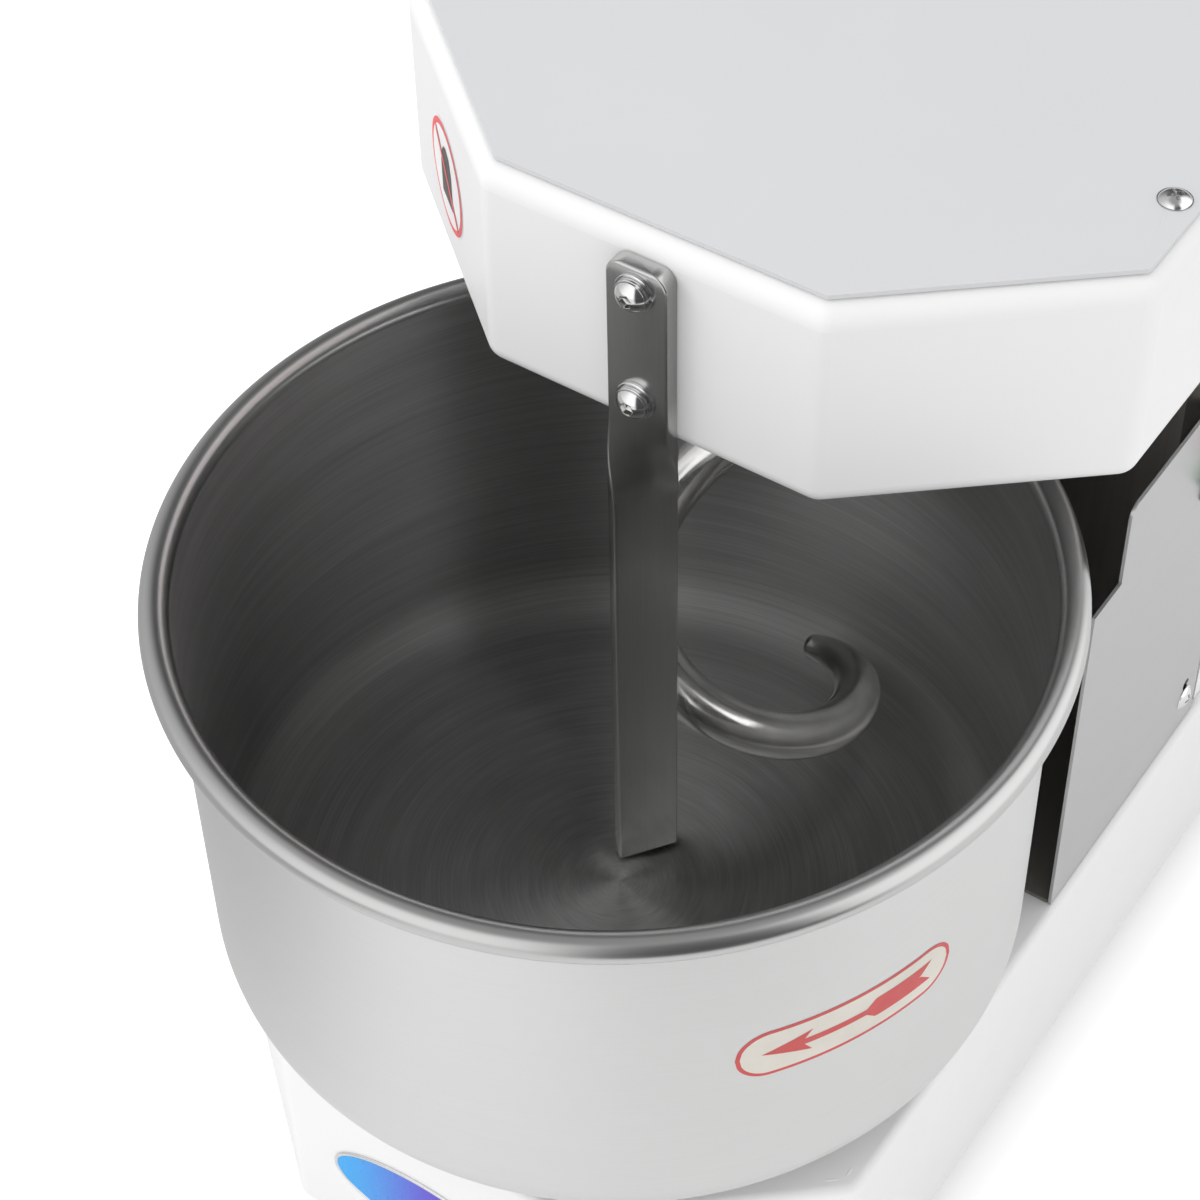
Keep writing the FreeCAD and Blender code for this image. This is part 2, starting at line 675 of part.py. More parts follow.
def spiral_hook():
    """Round bar swept along its centre line, a tapered tip and a flange on top."""
    full_turn = HELIX_TURN + RUN_IN_TURN
    steps = 40
    span = full_turn - TAPER_TURN
    points = [spiral_point(TAPER_TURN + span * i / steps) for i in range(steps + 1)]
    neck_z = HOOK_TOP_Z - HOOK_FLANGE_T
    straight = neck_z + 1 - points[-1].z
    points += [points[steps] + vec(0, 0, straight * share) for share in (0.5, 1.0)]
    curve = smooth_curve(points)
    start = Part.makeCircle(ROD_R, points[0], curve.tangent(curve.FirstParameter)[0])
    rod = Part.Wire([curve.toShape()]).makePipeShell([Part.Wire([start])], True, False)

    steps = 8
    turns = [TAPER_TURN * i / steps for i in range(steps + 2)]
    curve = smooth_curve([spiral_point(turn) for turn in turns])
    sections = []
    for turn in turns[:-1]:
        angle = math.radians(TIP_ANGLE) - turn
        along = curve.tangent(curve.parameter(spiral_point(turn)))[0]
        turned = FreeCAD.Rotation(vec(math.cos(angle), math.sin(angle)), vec(0, 0), along, "ZXY")
        circle = Part.makeCircle(rod_radius(turn))
        circle.Placement = FreeCAD.Placement(spiral_point(turn), turned)
        sections.append(Part.Wire([circle]))
    taper = Part.makeLoft(sections, True, False)
    end = Part.makeSphere(TIP_R, spiral_point(0))
    flange = cylinder(HOOK_FLANGE_R, neck_z, HOOK_TOP_Z, SPIRAL_AT)
    return rod.fuse(taper).fuse(end).fuse(flange)


# ---------------------------------------------------------------- breaker bar

def bar_section(z, turn):
    """Outline of the bar at a height, turned about the bar's own axis, its corners broken."""
    middle = vec(0, HEAD_FRONT_Y - BAR_T / 2.0, z)
    turned = FreeCAD.Rotation(vec(0, 0, 1), turn)
    half_w, half_t, edge = BAR_W / 2.0, BAR_T / 2.0, BAR_EDGE
    corners = [(half_w - edge, -half_t), (half_w, edge - half_t), (half_w, half_t - edge),
               (half_w - edge, half_t)]
    corners += [(-x, -y) for x, y in corners]
    points = [middle + turned.multVec(vec(x, y)) for x, y in corners]
    return Part.makePolygon(points + points[:1])


def breaker_bar():
    top, bottom = BAR_TWIST_Z
    half_w = BAR_W / 2.0
    upper = Part.Face(bar_section(top, 0)).extrude(vec(0, 0, BAR_TOP_Z - top))
    slab = rounded_prism(rectangle((-half_w, half_w), (top - 20, BAR_TOP_Z)), BAR_TOP_R, 0, 60)
    slab.rotate(vec(0, 0), vec(1, 0, 0), 90)
    slab.translate(vec(0, HEAD_FRONT_Y + 20))
    upper = upper.common(slab)
    steps = 10
    sections = []
    for i in range(steps + 1):
        share = i / steps
        eased = share * share * (3.0 - 2.0 * share)
        sections.append(bar_section(top + (bottom - top) * share, BAR_TWIST * eased))
    twist = Part.makeLoft(sections, True, False)
    blade = Part.Face(bar_section(BAR_BOTTOM_Z, BAR_TWIST)).extrude(
        vec(0, 0, bottom - BAR_BOTTOM_Z))
    made = upper.fuse(twist).fuse(blade)
    for z in BAR_BOLT_Z:
        made = made.cut(rod_along(vec(0, 1, 0), 4.3, vec(0, HEAD_FRONT_Y - 20, z), 40))
    return made


def breaker_washers():
    front = HEAD_FRONT_Y - BAR_T
    out = vec(0, -1, 0)
    made = []
    for z in BAR_BOLT_Z:
        flat = rod_along(out, 8.5, vec(0, front, z), 1.6)
        spring = rod_along(out, 7.3, vec(0, front - 1.6, z), 2.0)
        hole = rod_along(out, 4.3, vec(0, front + 1, z), 10)
        gap = block((0, 9), (front - 1.6 - 2.0, front - 1.6), (z - 0.6, z + 0.6))
        made.append(flat.fuse(spring.cut(gap)).cut(hole))
    return Part.makeCompound(made)


def breaker_bolts():
    seat = HEAD_FRONT_Y - BAR_T - 3.6
    out = vec(0, -1, 0)
    made = []
    for z in BAR_BOLT_Z:
        head = domed_head(7.0, 4.4, vec(0, seat, z), out)
        socket = hexagon(5.0, 4.0, vec(0, seat - 1.6, z), out)
        shank = rod_along(vec(0, 1, 0), 4.0, vec(0, seat, z), HEAD_SHEET + BAR_T + 3.6 + 8)
        made.append(head.cut(socket).fuse(shank))
    return Part.makeCompound(made)


def breaker_backing():
    front = HEAD_FRONT_Y + HEAD_SHEET
    plate = block((-35, 35), (front, front + 8), (428, 498))
    for z in BAR_BOLT_Z:
        plate = plate.cut(rod_along(vec(0, 1, 0), 4.0 + SEAT_FIT, vec(0, front - 1, z), 12))
    return plate


# ---------------------------------------------------------------- column

def column_frame():
    half, sheet = COLUMN_HALF_W, COLUMN_SHEET
    height = (DECK_Z, HEAD_BOTTOM_Z)
    sides = []
    for side in (-1, 1):
        reach = sorted((side * half, side * (half - sheet)))
        sides.append(block(reach, (COLUMN_FRONT_Y, COLUMN_SIDE_END_Y), height))
    front = block((-half, half), (COLUMN_FRONT_Y, COLUMN_FRONT_Y + sheet), height)
    top = block((-half, half), (COLUMN_FRONT_Y, COLUMN_SIDE_END_Y), (height[1] - 8, height[1]))
    frame = fuse([front, top] + sides)
    frame = frame.cut(cylinder(30, height[1] - 20, height[1] + 5, MAIN_AT))
    for y, z in PANEL_SCREWS:
        for side in (-1, 1):
            out = vec(side, 0, 0)
            post = rod_along(out, 7, vec(side * half, y, z), PANEL_X - half)
            hole = rod_along(out, 2.6, vec(side * (half - 5), y, z), 30)
            frame = frame.fuse(post).cut(hole)
    return frame


def side_panel_left():
    lower_front = BOWL_Y + 102.0
    upper_front = BOWL_Y + 125.0
    step_z = RIM_Z - 21.0
    top_z = RIM_Z + 22.0
    low_z = DECK_Z + 0.5
    corners = [(lower_front, low_z), (PANEL_REAR_Y, low_z), (PANEL_REAR_Y, top_z),
               (upper_front, top_z), (upper_front, step_z), (lower_front, step_z)]
    points = [vec(PANEL_X, y, z) for y, z in corners]
    sheet = Part.Face(Part.makePolygon(points + points[:1])).extrude(vec(PANEL_T, 0, 0))
    soft = [e for e in sheet.Edges
            if all(abs(v.Y - upper_front) < 1e-6 and abs(v.Z - top_z) < 1e-6 for v in e.Vertexes)]
    sheet = sheet.makeFillet(6.0, soft)
    for y, z in PANEL_SCREWS:
        sheet = sheet.cut(rod_along(vec(1, 0, 0), 3.0, vec(PANEL_X - 1, y, z), 5))
        sheet = sheet.cut(block((PANEL_X - 1, PANEL_X + 3), (y - 2, y + 2), (z, z + 9)))
        sheet = sheet.cut(rod_along(vec(1, 0, 0), 3.0, vec(PANEL_X - 1, y, z + 9), 5))
    return mirrored(sheet)


def side_panel_right():
    sheet = mirrored(side_panel_left())
    for y in (START_Y, STOP_Y):
        sheet = sheet.cut(rod_along(vec(1, 0, 0), BUTTON_R + 0.8, vec(PANEL_X - 1, y, SWITCH_Z), 5))
    return sheet


def panel_screws():
    made = []
    for y, z in PANEL_SCREWS:
        screw = cross_screw(vec(PANEL_X + PANEL_T, y, z), vec(1, 0, 0), vec(0, 1, 0),
                            6.3, 3.0, 2.5, 14)
        made += [screw, mirrored(screw)]
    return Part.makeCompound(made)


def rear_cover():
    outer_x, sheet = COVER_SIDE_X, REAR_COVER_SHEET
    front_y, rear_y = REAR_COVER_Y
    height = (DECK_Z + 0.5, HEAD_BOTTOM_Z - 0.5)
    wall = rounded_prism(rectangle((-outer_x, outer_x), (front_y - 40, rear_y)), 12, *height)
    hollow = rounded_prism(rectangle((-outer_x + sheet, outer_x - sheet),
                                     (front_y - 60, rear_y - sheet)), 10,
                           height[0] - 1, height[1] + 1)
    cover = wall.cut(hollow)
    cover = cover.cut(block((-200, 200), (front_y - 60, front_y), (height[0] - 1, height[1] + 1)))
    lips = []
    for side in (-1, 1):
        reach = sorted((side * (COLUMN_HALF_W + 0.5), side * (outer_x - sheet / 2)))
        lips.append(block(reach, (front_y, front_y + sheet), height))
    cover = cover.multiFuse(lips).removeSplitter()
    for i in range(9):
        z = 215 + i * 16
        cover = cover.cut(block((-70, 70), (rear_y - 5, rear_y + 5), (z, z + 5)))
    cover = cover.cut(rod_along(vec(0, 1, 0), 8.2, vec(-100, rear_y - 5, 185), 10))
    timer_hole = rod_along(vec(1, 0, 0), 6.0, vec(outer_x - 5, TIMER_AT[0], TIMER_AT[1]), 10)
    cover = cover.cut(timer_hole)
    for x, y, z, out in rear_screw_places():
        cover = cover.cut(rod_along(out * -1, 2.6, vec(x, y, z) + out * 2, 8))
    return cover


def rear_screw_places():
    """Screws that hold the rear cover: on its sides near the front edge, and on its back."""
    places = []
    for z in (165.0, 395.0):
        for side in (-1, 1):
            places.append((side * COVER_SIDE_X, 290.0, z, vec(side, 0, 0)))
    return places


def rear_cover_screws():
    return Part.makeCompound([
        cross_screw(vec(x, y, z), out, vec(0, 1, 0), 5.5, 2.8, 2.4, 10)
        for x, y, z, out in rear_screw_places()])


# ---------------------------------------------------------------- controls and electrics

def control_plate():
    half_h = SWITCH_PLATE_HALF_H
    outline = rectangle(SWITCH_PLATE_Y, (SWITCH_Z - half_h, SWITCH_Z + half_h))
    plate = rounded_prism(outline, 5, 0, 2)
    plate.Placement = FreeCAD.Placement(vec(PANEL_X + PANEL_T, 0, 0),
                                        FreeCAD.Rotation(vec(0, 1, 0), vec(0, 0, 1), vec(1, 0, 0),
                                                         "ZXY"))
    for y in (START_Y, STOP_Y):
        plate = plate.cut(rod_along(vec(1, 0, 0), BUTTON_R + 0.5, vec(PANEL_X, y, SWITCH_Z), 8))
    return plate


def switch_block():
    body = block((152, PANEL_X), SWITCH_BLOCK_Y, (SWITCH_Z - 11.0, SWITCH_Z + 11.0))
    for y in (START_Y, STOP_Y):
        body = body.cut(rod_along(vec(1, 0, 0), BUTTON_R + 0.6, vec(157, y, SWITCH_Z), 10))
    return body


def push_button(y, cap_r, cap_out):
    """Round button that slides along X; its foot runs in the switch block."""
    stem = rod_along(vec(1, 0, 0), BUTTON_R, vec(160, y, SWITCH_Z), cap_out - 160)
    if cap_r <= BUTTON_R:
        rim = [e for e in stem.Edges if all(abs(v.X - cap_out) < 1e-6 for v in e.Vertexes)]
        return stem.makeFillet(1.2, rim)
    cap = rod_along(vec(1, 0, 0), cap_r, vec(cap_out, y, SWITCH_Z), 6)
    rim = [e for e in cap.Edges if all(abs(v.X - cap_out - 6) < 1e-6 for v in e.Vertexes)]
    return stem.fuse(cap.makeFillet(2.5, rim))


def timer_body():
    y, z = TIMER_AT
    body = block((141, COVER_SIDE_X - REAR_COVER_SHEET), (y - 22, y + 22), (z - 22, z + 22))
    return body.cut(rod_along(vec(1, 0, 0), 3.0 + RUNNING_FIT, vec(145, y, z), 40))


def timer_knob():
    """Fluted knob with a raised pointer rib and a stub that turns in the timer."""
    y, z = TIMER_AT
    low = COVER_SIDE_X + 1.0
    knob = Part.makeCone(TIMER_KNOB_R, TIMER_KNOB_R - 2.5, 15, vec(low, y, z), vec(1, 0, 0))
    for turn in range(15, 360, 30):
        angle = math.radians(turn)
        groove_at = vec(low - 1, y + TIMER_KNOB_R * math.sin(angle), z + TIMER_KNOB_R * math.cos(angle))
        knob = knob.cut(rod_along(vec(1, 0, 0), 2.4, groove_at, 20))
    pointer = block((low + 14, low + 17), (y - 1.6, y + 1.6), (z, z + TIMER_KNOB_R - 3))
    stub = rod_along(vec(1, 0, 0), 3.0, vec(146, y, z), low - 145)
    return fuse([knob, pointer, stub])


def contactor_box():
    body = block((-140, -70), (64, 128), (240, 330))
    upright = [e for e in body.Edges if abs(e.Vertexes[0].Z - e.Vertexes[-1].Z) > 50]
    return body.makeFillet(5, upright)


def cable_gland():
    """Nut outside and stub inside the rear cover, with a straight hole for the mains lead."""
    rear_y = REAR_COVER_Y[1]
    place = vec(-100, rear_y, 185)
    back = vec(0, 1, 0)
    nut = hexagon(22, 9, place, back)
    dome = Part.makeCone(9.5, 7.0, 11, place + back * 9, back)
    stub = rod_along(back * -1, 8.0, place, 12)
    lock = hexagon(22, 4, place - back * (REAR_COVER_SHEET + 4), back)
    made = fuse([nut, dome, stub, lock])
    return made.cut(rod_along(back, 5.0, place - back * 20, 60))


# ---------------------------------------------------------------- every node

def main():
    os.makedirs("parts", exist_ok=True)
    makers = (base_shell, base_bottom_plate, feet, foot_bolts, base_badge,
              bowl, bowl_hub, bowl_shaft, bowl_housing, bowl_housing_bolts, bowl_bearings,
              drive_plate, main_housings, shaft_bearings, main_shaft, counter_shaft,
              motor_housing, motor_stator, motor_rotor, motor_fan, motor_fan_cover,
              head_shell, head_cover, head_cover_screws, head_base_plate,
              spiral_housing, spiral_bearings, spiral_shaft, spiral_hook,
              breaker_bar, breaker_washers, breaker_bolts, breaker_backing,
              column_frame, side_panel_left, side_panel_right, panel_screws,
              rear_cover, rear_cover_screws,
              control_plate, switch_block, timer_body, timer_knob, contactor_box, cable_gland)
    for make in makers:
        save(make.__name__, make())
    save("counter_housing", hanging_housing(COUNTER_AT, 23.5, COUNTER_SHAFT_R))
    save("start_button", push_button(START_Y, BUTTON_R, START_OUT_X))
    save("stop_button", push_button(STOP_Y, STOP_CAP_R, STOP_CAP_X))
    save("bowl_pulley", pulley(BOWL_PITCH_R, BOWL_BELT_Z, BOWL_AT, BOWL_SHAFT_R))
    save("bowl_drive_pulley", pulley(BOWL_DRIVE_PITCH_R, BOWL_BELT_Z, MAIN_AT, MAIN_SHAFT_R))
    save("main_drive_pulley", pulley(MAIN_DRIVE_PITCH_R, COUNTER_BELT_Z, MAIN_AT, MAIN_SHAFT_R))
    save("main_top_pulley", pulley(SPIRAL_PITCH_R, SPIRAL_BELT_Z, MAIN_AT, MAIN_SHAFT_R))
    save("spiral_pulley", pulley(SPIRAL_PITCH_R, SPIRAL_BELT_Z, SPIRAL_AT, SPIRAL_SHAFT_R))
    save("counter_pulley_small",
         pulley(COUNTER_SMALL_PITCH_R, COUNTER_BELT_Z, COUNTER_AT, COUNTER_SHAFT_R))
    save("counter_pulley_large",
         pulley(COUNTER_LARGE_PITCH_R, MOTOR_BELT_Z, COUNTER_AT, COUNTER_SHAFT_R))
    save("motor_pulley", pulley(MOTOR_PITCH_R, MOTOR_BELT_Z, MOTOR_AT, MOTOR_SHAFT_R))
    save("bowl_belt", belt(BOWL_AT, BOWL_PITCH_R, MAIN_AT, BOWL_DRIVE_PITCH_R, BOWL_BELT_Z))
    save("motor_belt",
         belt(COUNTER_AT, COUNTER_LARGE_PITCH_R, MOTOR_AT, MOTOR_PITCH_R, MOTOR_BELT_Z))
    save("counter_belt",
         belt(MAIN_AT, MAIN_DRIVE_PITCH_R, COUNTER_AT, COUNTER_SMALL_PITCH_R, COUNTER_BELT_Z))
    save("spiral_belt", belt(MAIN_AT, SPIRAL_PITCH_R, SPIRAL_AT, SPIRAL_PITCH_R, SPIRAL_BELT_Z))


main()
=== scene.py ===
import bpy
import bmesh
import json
import math
from mathutils import Matrix, Vector


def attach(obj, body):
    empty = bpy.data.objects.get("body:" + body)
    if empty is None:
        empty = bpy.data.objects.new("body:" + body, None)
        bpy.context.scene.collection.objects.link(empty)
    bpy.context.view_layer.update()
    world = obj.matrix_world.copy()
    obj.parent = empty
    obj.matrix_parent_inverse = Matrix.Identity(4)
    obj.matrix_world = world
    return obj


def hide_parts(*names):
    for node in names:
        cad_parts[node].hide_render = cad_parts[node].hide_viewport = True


# Looks of the spiral dough mixer. Metres, the front faces -Y, the floor is z = 0.

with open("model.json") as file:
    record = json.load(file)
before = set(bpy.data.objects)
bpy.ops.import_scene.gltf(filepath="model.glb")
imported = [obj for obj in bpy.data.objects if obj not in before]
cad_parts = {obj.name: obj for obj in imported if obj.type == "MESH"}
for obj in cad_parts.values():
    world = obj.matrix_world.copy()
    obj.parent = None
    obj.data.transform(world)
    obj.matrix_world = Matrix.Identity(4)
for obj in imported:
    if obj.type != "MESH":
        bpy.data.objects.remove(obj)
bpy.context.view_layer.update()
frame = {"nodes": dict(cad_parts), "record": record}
NODES = frame["nodes"]

# ---------------------------------------------------------------- dimensions, as in the CAD

BOWL_Y = -0.150
BOWL_INNER_R = 0.1776
BOWL_SHEET = 0.0012
BOWL_BOTTOM_Z = 0.1534
BOWL_CORNER_R = 0.0287
RIM_Z = 0.355
BEAD_R = 0.0062
HEAD_FRONT_Y = -0.1243
BAR_W, BAR_T = 0.0275, 0.008
BAR_TOP_Z, BAR_TOP_R, BAR_BOTTOM_Z = 0.503, 0.007, 0.157
BAR_TWIST_Z = (0.423, 0.380)
BAR_TWIST = math.radians(54)
BAR_BOLT_Z = (0.492, 0.4375)
SPIRAL_Y = -0.042
ROD_R, HELIX_R = 0.0112, 0.0502
TIP_ANGLE, TIP_Z = math.radians(78), 0.1745
HELIX_RISE, HELIX_RISE_GAIN = 0.01005, 0.00238
HELIX_TURN, RUN_IN_TURN = 5.55, 1.4
TAPER_TURN, TIP_DRAW_IN = 1.1, 0.0045
HOOK_TOP_Z, HOOK_FLANGE_R, HOOK_FLANGE_T = 0.384, 0.027, 0.008
BASE_FRONT_Y = -0.302
DECK_Z, BASE_HALF_W = 0.143, 0.1683
NOSE_HALF_W, HEAD_HALF_W, NOSE_DEPTH = 0.0755, 0.1693, 0.079
HEAD_TOP_Z, COVER_T = 0.513, 0.002
COVER_SCREW_X, COVER_SCREW_Y = 0.153, (-0.003, 0.318)
BADGE_HALF = (0.052, 0.024)
COLUMN_FRONT_Y = 0.055
PANEL_OUT_X, PANEL_SHEET, PANEL_FRONT_Y = 0.165, 0.0015, -0.048
PANEL_SCREWS = ((0.078, 0.165), (0.078, 0.352))
COVER_SIDE_X = 0.1635
REAR_SCREWS = ((0.290, 0.165), (0.290, 0.395))
TIMER_AT = (0.170, 0.330)
FOOT_R, FOOT_TOP_Z = 0.024, 0.030
FOOT_X, FOOT_Y = 0.122, (-0.212, 0.300)

# ---------------------------------------------------------------- dimensions of the looks only

# The hook's tip is thicker, and the badge lower, than in the CAD
TIP_R, TIP_CAP_LENGTH = 0.0066, 0.005
BADGE_Z, BADGE_EDGE_W = 0.0785, 0.0018
ARROW_AZIMUTH, ARROW_Z = math.radians(-25.15), 0.2658
ARROW_HALF_L, ARROW_HALF_H, ARROW_BORDER = 0.0507, 0.0146, 0.0019
ROUND_LABEL_R, ROUND_LABEL_Z, ROUND_LABEL_ALONG = 0.0257, 0.458, 0.0635
ROUND_RING_OUT, ROUND_RING_IN = 0.0008, 0.0036
TICK_R, TICK_END, LONG_TICK_END, TICK_HALF_W = 0.0222, 0.0252, 0.0275, 0.00045
FOOT_PLATE_T, FOOT_PLATE_BEVEL = 0.0018, 0.0003
PRINT_LIFT = 0.0001

# Nodes of sheet and plate whose edges are softened, with the bevel's width
SOFT_EDGES = {"side_panel_left": 0.0003, "side_panel_right": 0.0003, "control_plate": 0.0005,
              "head_cover": 0.0006, "base_bottom_plate": 0.0004, "motor_fan_cover": 0.0005}

# ---------------------------------------------------------------- studio

# Azimuths of the dark gap's soft edges, and the brightness of what metal mirrors
GAP_EDGES = tuple(math.radians(a) for a in (-72, -58, -19, -9))
SCREEN_LIGHT, ROOM_LIGHT, OVERHEAD_LIGHT = 1.3, 0.08, 0.3
MATT_LIGHT, FLOOR_GLOW, FLOOR_CAMERA_GLOW = 1.05, 0.11, 0.25
CAMERA_TARGET, CAMERA_DISTANCE = Vector((0.0032, -0.1645, 0.355)), 1.1848
CAMERA_BACK = Vector((0.3912, -0.5553, 0.7339)).normalized()
CAMERA_AZIMUTH, CAMERA_ROLL = math.radians(35.16), math.radians(-1.398)
CAMERA_LENS, CAMERA_SENSOR = 89.43, 36.0


# ---------------------------------------------------------------- materials

class Nodes:
    """Short ways to add nodes to a tree."""

    def __init__(self, tree):
        self.tree = tree

    def node(self, kind, inputs=(), **settings):
        made = self.tree.nodes.new(kind)
        for key, value in settings.items():
            setattr(made, key, value)
        for slot, value in dict(inputs).items():
            self.feed(made.inputs[slot], value)
        return made

    def feed(self, socket, value):
        if isinstance(value, bpy.types.NodeSocket):
            self.tree.links.new(value, socket)
        else:
            socket.default_value = value

    def math(self, operation, a, b=0.0, c=0.0):
        made = self.node("ShaderNodeMath", {0: a, 1: b, 2: c}, operation=operation)
        return made.outputs[0]

    def axes(self, vector):
        return self.node("ShaderNodeSeparateXYZ", {0: vector}).outputs

    def ramp(self, value, low, high, start=0.3, end=0.7, smooth=False):
        kind = "SMOOTHSTEP" if smooth else "LINEAR"
        made = self.node("ShaderNodeMapRange", {"Value": value, "From Min": start, "From Max": end,
                                                "To Min": low, "To Max": high},
                         interpolation_type=kind)
        return made.outputs[0]

    def band(self, value, rise_start, rise_end, fall_start, fall_end):
        """1 between two soft edges, 0 outside them."""
        rising = self.ramp(value, 0.0, 1.0, rise_start, rise_end, True)
        falling = self.ramp(value, 1.0, 0.0, fall_start, fall_end, True)
        return self.math("MULTIPLY", rising, falling)

    def blend(self, share, first, second):
        made = self.node("ShaderNodeMix", {0: share}, data_type="RGBA")
        self.feed(made.inputs[6], first)
        self.feed(made.inputs[7], second)
        return made.outputs[2]


class Shader(Nodes):
    """A Principled material whose inputs are fed by a few procedural nodes."""

    def __init__(self, name, color, roughness, metallic=0.0, **constants):
        self.material = bpy.data.materials.new(name)
        self.material.use_nodes = True
        super().__init__(self.material.node_tree)
        self.surface = self.tree.nodes["Principled BSDF"]
        self.set("Base Color", (*color, 1.0))
        self.set("Roughness", roughness)
        self.set("Metallic", metallic)
        for key, value in constants.items():
            self.set(key.replace("_", " "), value)

    def set(self, name, value):
        self.surface.inputs[name].default_value = value

    def place(self):
        return self.node("ShaderNodeTexCoord").outputs["Object"]

    def stretched(self, scale):
        mapping = self.node("ShaderNodeMapping", {"Vector": self.place(), "Scale": scale})
        return mapping.outputs[0]

    def ringed(self, turns, density):
        """Coordinates that run round the local Z axis, for marks left by spinning."""
        x, y, z = self.axes(self.place())
        radius = self.math("SQRT", self.math("ADD", self.math("MULTIPLY", x, x),
                                             self.math("MULTIPLY", y, y)))
        safe = self.math("MAXIMUM", radius, 0.004)
        made = self.node("ShaderNodeCombineXYZ", {
            0: self.math("MULTIPLY", self.math("DIVIDE", x, safe), turns),
            1: self.math("MULTIPLY", self.math("DIVIDE", y, safe), turns),
            2: self.math("MULTIPLY", self.math("ADD", radius, z), density)})
        return made.outputs[0]

    def noise(self, vector, scale=1.0, detail=4.0, rough=0.6):
        made = self.node("ShaderNodeTexNoise", {"Vector": vector, "Scale": scale,
                                                "Detail": detail, "Roughness": rough})
        return made.outputs["Fac"]

    def tint(self, value, dark, light, start=0.3, end=0.7):
        return self.blend(self.ramp(value, 0.0, 1.0, start, end), (*dark, 1.0), (*light, 1.0))

    def color(self, socket):
        self.feed(self.surface.inputs["Base Color"], socket)

    def roughness(self, socket):
        self.feed(self.surface.inputs["Roughness"], socket)

    def bump(self, height, distance, strength):
        settings = {"Height": height, "Distance": distance, "Strength": strength}
        self.feed(self.surface.inputs["Normal"], self.node("ShaderNodeBump", settings).outputs[0])

    def brush_along(self, tangent):
        self.feed(self.surface.inputs["Tangent"], tangent)


BRUSH_DEPTH = 0.000001


def scaled(color, factor):
    return tuple(min(1.0, c * factor) for c in color)


def painted(name, color, roughness=0.34, peel=0.00004):
    """Powder coat: faint orange peel, slightly uneven gloss and tone."""
    made = Shader(name, color, roughness, Specular_IOR_Level=0.25, Coat_Weight=0.05,
                  Coat_Roughness=0.2)
    place = made.place()
    made.color(made.tint(made.noise(place, 9.0, 3.0), scaled(color, 0.985), color))
    made.roughness(made.ramp(made.noise(place, 40.0, 4.0), roughness - 0.05, roughness + 0.06))
    made.bump(made.noise(place, 900.0, 2.0), peel, 0.35)
    return made.material


def plastic(name, color, roughness, grain=0.00003, **constants):
    """Moulded or printed surface with a faint grain."""
    made = Shader(name, color, roughness, **constants)
    place = made.place()
    made.color(made.tint(made.noise(place, 25.0, 4.0), scaled(color, 0.9), scaled(color, 1.06)))
    made.roughness(made.ramp(made.noise(place, 160.0, 4.0), roughness - 0.06, roughness + 0.08))
    made.bump(made.noise(place, 1500.0, 3.0), grain, 0.5)
    return made.material


def brushed(name, color, roughness, along, anisotropy, contrast):
    """Straight brushing along one axis: 'y' or 'z'."""
    made = Shader(name, color, roughness, 1.0, Anisotropic=anisotropy)
    density = 1500.0
    scale = [density] * 3
    scale["xyz".index(along)] = density / 90.0
    lines = made.noise(made.stretched(scale), 1.0, 5.0, 0.65)
    broad = made.noise(made.stretched([s / 14.0 for s in scale]), 1.0, 3.0)
    mixed = made.math("MULTIPLY_ADD", lines, 0.65, made.math("MULTIPLY", broad, 0.35))
    made.color(made.tint(mixed, scaled(color, 1.0 - contrast), scaled(color, 1.0 + contrast)))
    made.roughness(made.ramp(lines, roughness - 0.015, roughness + 0.02))
    made.bump(lines, BRUSH_DEPTH, 0.6)
    tangent = {"y": (0.3, 0, 1), "z": (1, 0.6, 0)}[along]
    made.brush_along(made.node("ShaderNodeCombineXYZ", dict(enumerate(tangent))).outputs[0])
    return made.material


def spun(name, color, roughness, anisotropy=0.7, contrast=0.14):
    """Brushing that runs round the local Z axis: long fine lines over softer broad rings."""
    made = Shader(name, color, roughness, 1.0, Anisotropic=anisotropy,
                  Anisotropic_Rotation=0.25)
    density = 1400.0
    fine = made.noise(made.ringed(2.2, density), 1.0, 2.0, 0.6)
    medium = made.noise(made.ringed(1.3, density / 5.0), 1.0, 3.0, 0.6)
    broad = made.noise(made.ringed(1.5, density / 40.0), 1.0, 2.0, 0.5)
    mixed = made.math("MULTIPLY_ADD", fine, 0.45, made.math("MULTIPLY_ADD", medium, 0.35,
                                                            made.math("MULTIPLY", broad, 0.2)))
    made.color(made.tint(mixed, scaled(color, 1.0 - contrast), scaled(color, 1.0 + contrast),
                         0.34, 0.66))
    made.roughness(made.ramp(medium, roughness - 0.015, roughness + 0.02))
    made.bump(fine, BRUSH_DEPTH, 0.6)
    made.brush_along(made.node("ShaderNodeTangent", direction_type="RADIAL", axis="Z").outputs[0])
    return made.material


def metal(name, color, roughness, contrast, scale=70.0):
    """Metal with no brushing: slight cloudiness and faint waviness."""
    made = Shader(name, color, roughness, 1.0)
    place = made.place()
    cloud = made.noise(place, scale, 5.0)
    made.color(made.tint(cloud, scaled(color, 1.0 - contrast), scaled(color, 1.0 + contrast)))
    made.roughness(made.ramp(made.noise(place, scale * 4.0, 4.0), roughness - 0.04,
                             roughness + 0.07))
    made.bump(made.noise(place, scale * 1.5, 2.0), 0.00002, 0.4)
    return made.material


def cast(name, color):
    """Rough cast or stacked metal with a fine grain."""
    roughness = 0.55
    made = Shader(name, color, roughness, 0.1)
    place = made.place()
    grain = made.noise(place, 600.0, 6.0, 0.7)
    made.color(made.tint(made.noise(place, 30.0, 5.0), scaled(color, 0.8), scaled(color, 1.15)))
    made.roughness(made.ramp(grain, roughness - 0.1, roughness + 0.15))
    made.bump(grain, 0.0002, 0.5)
    return made.material


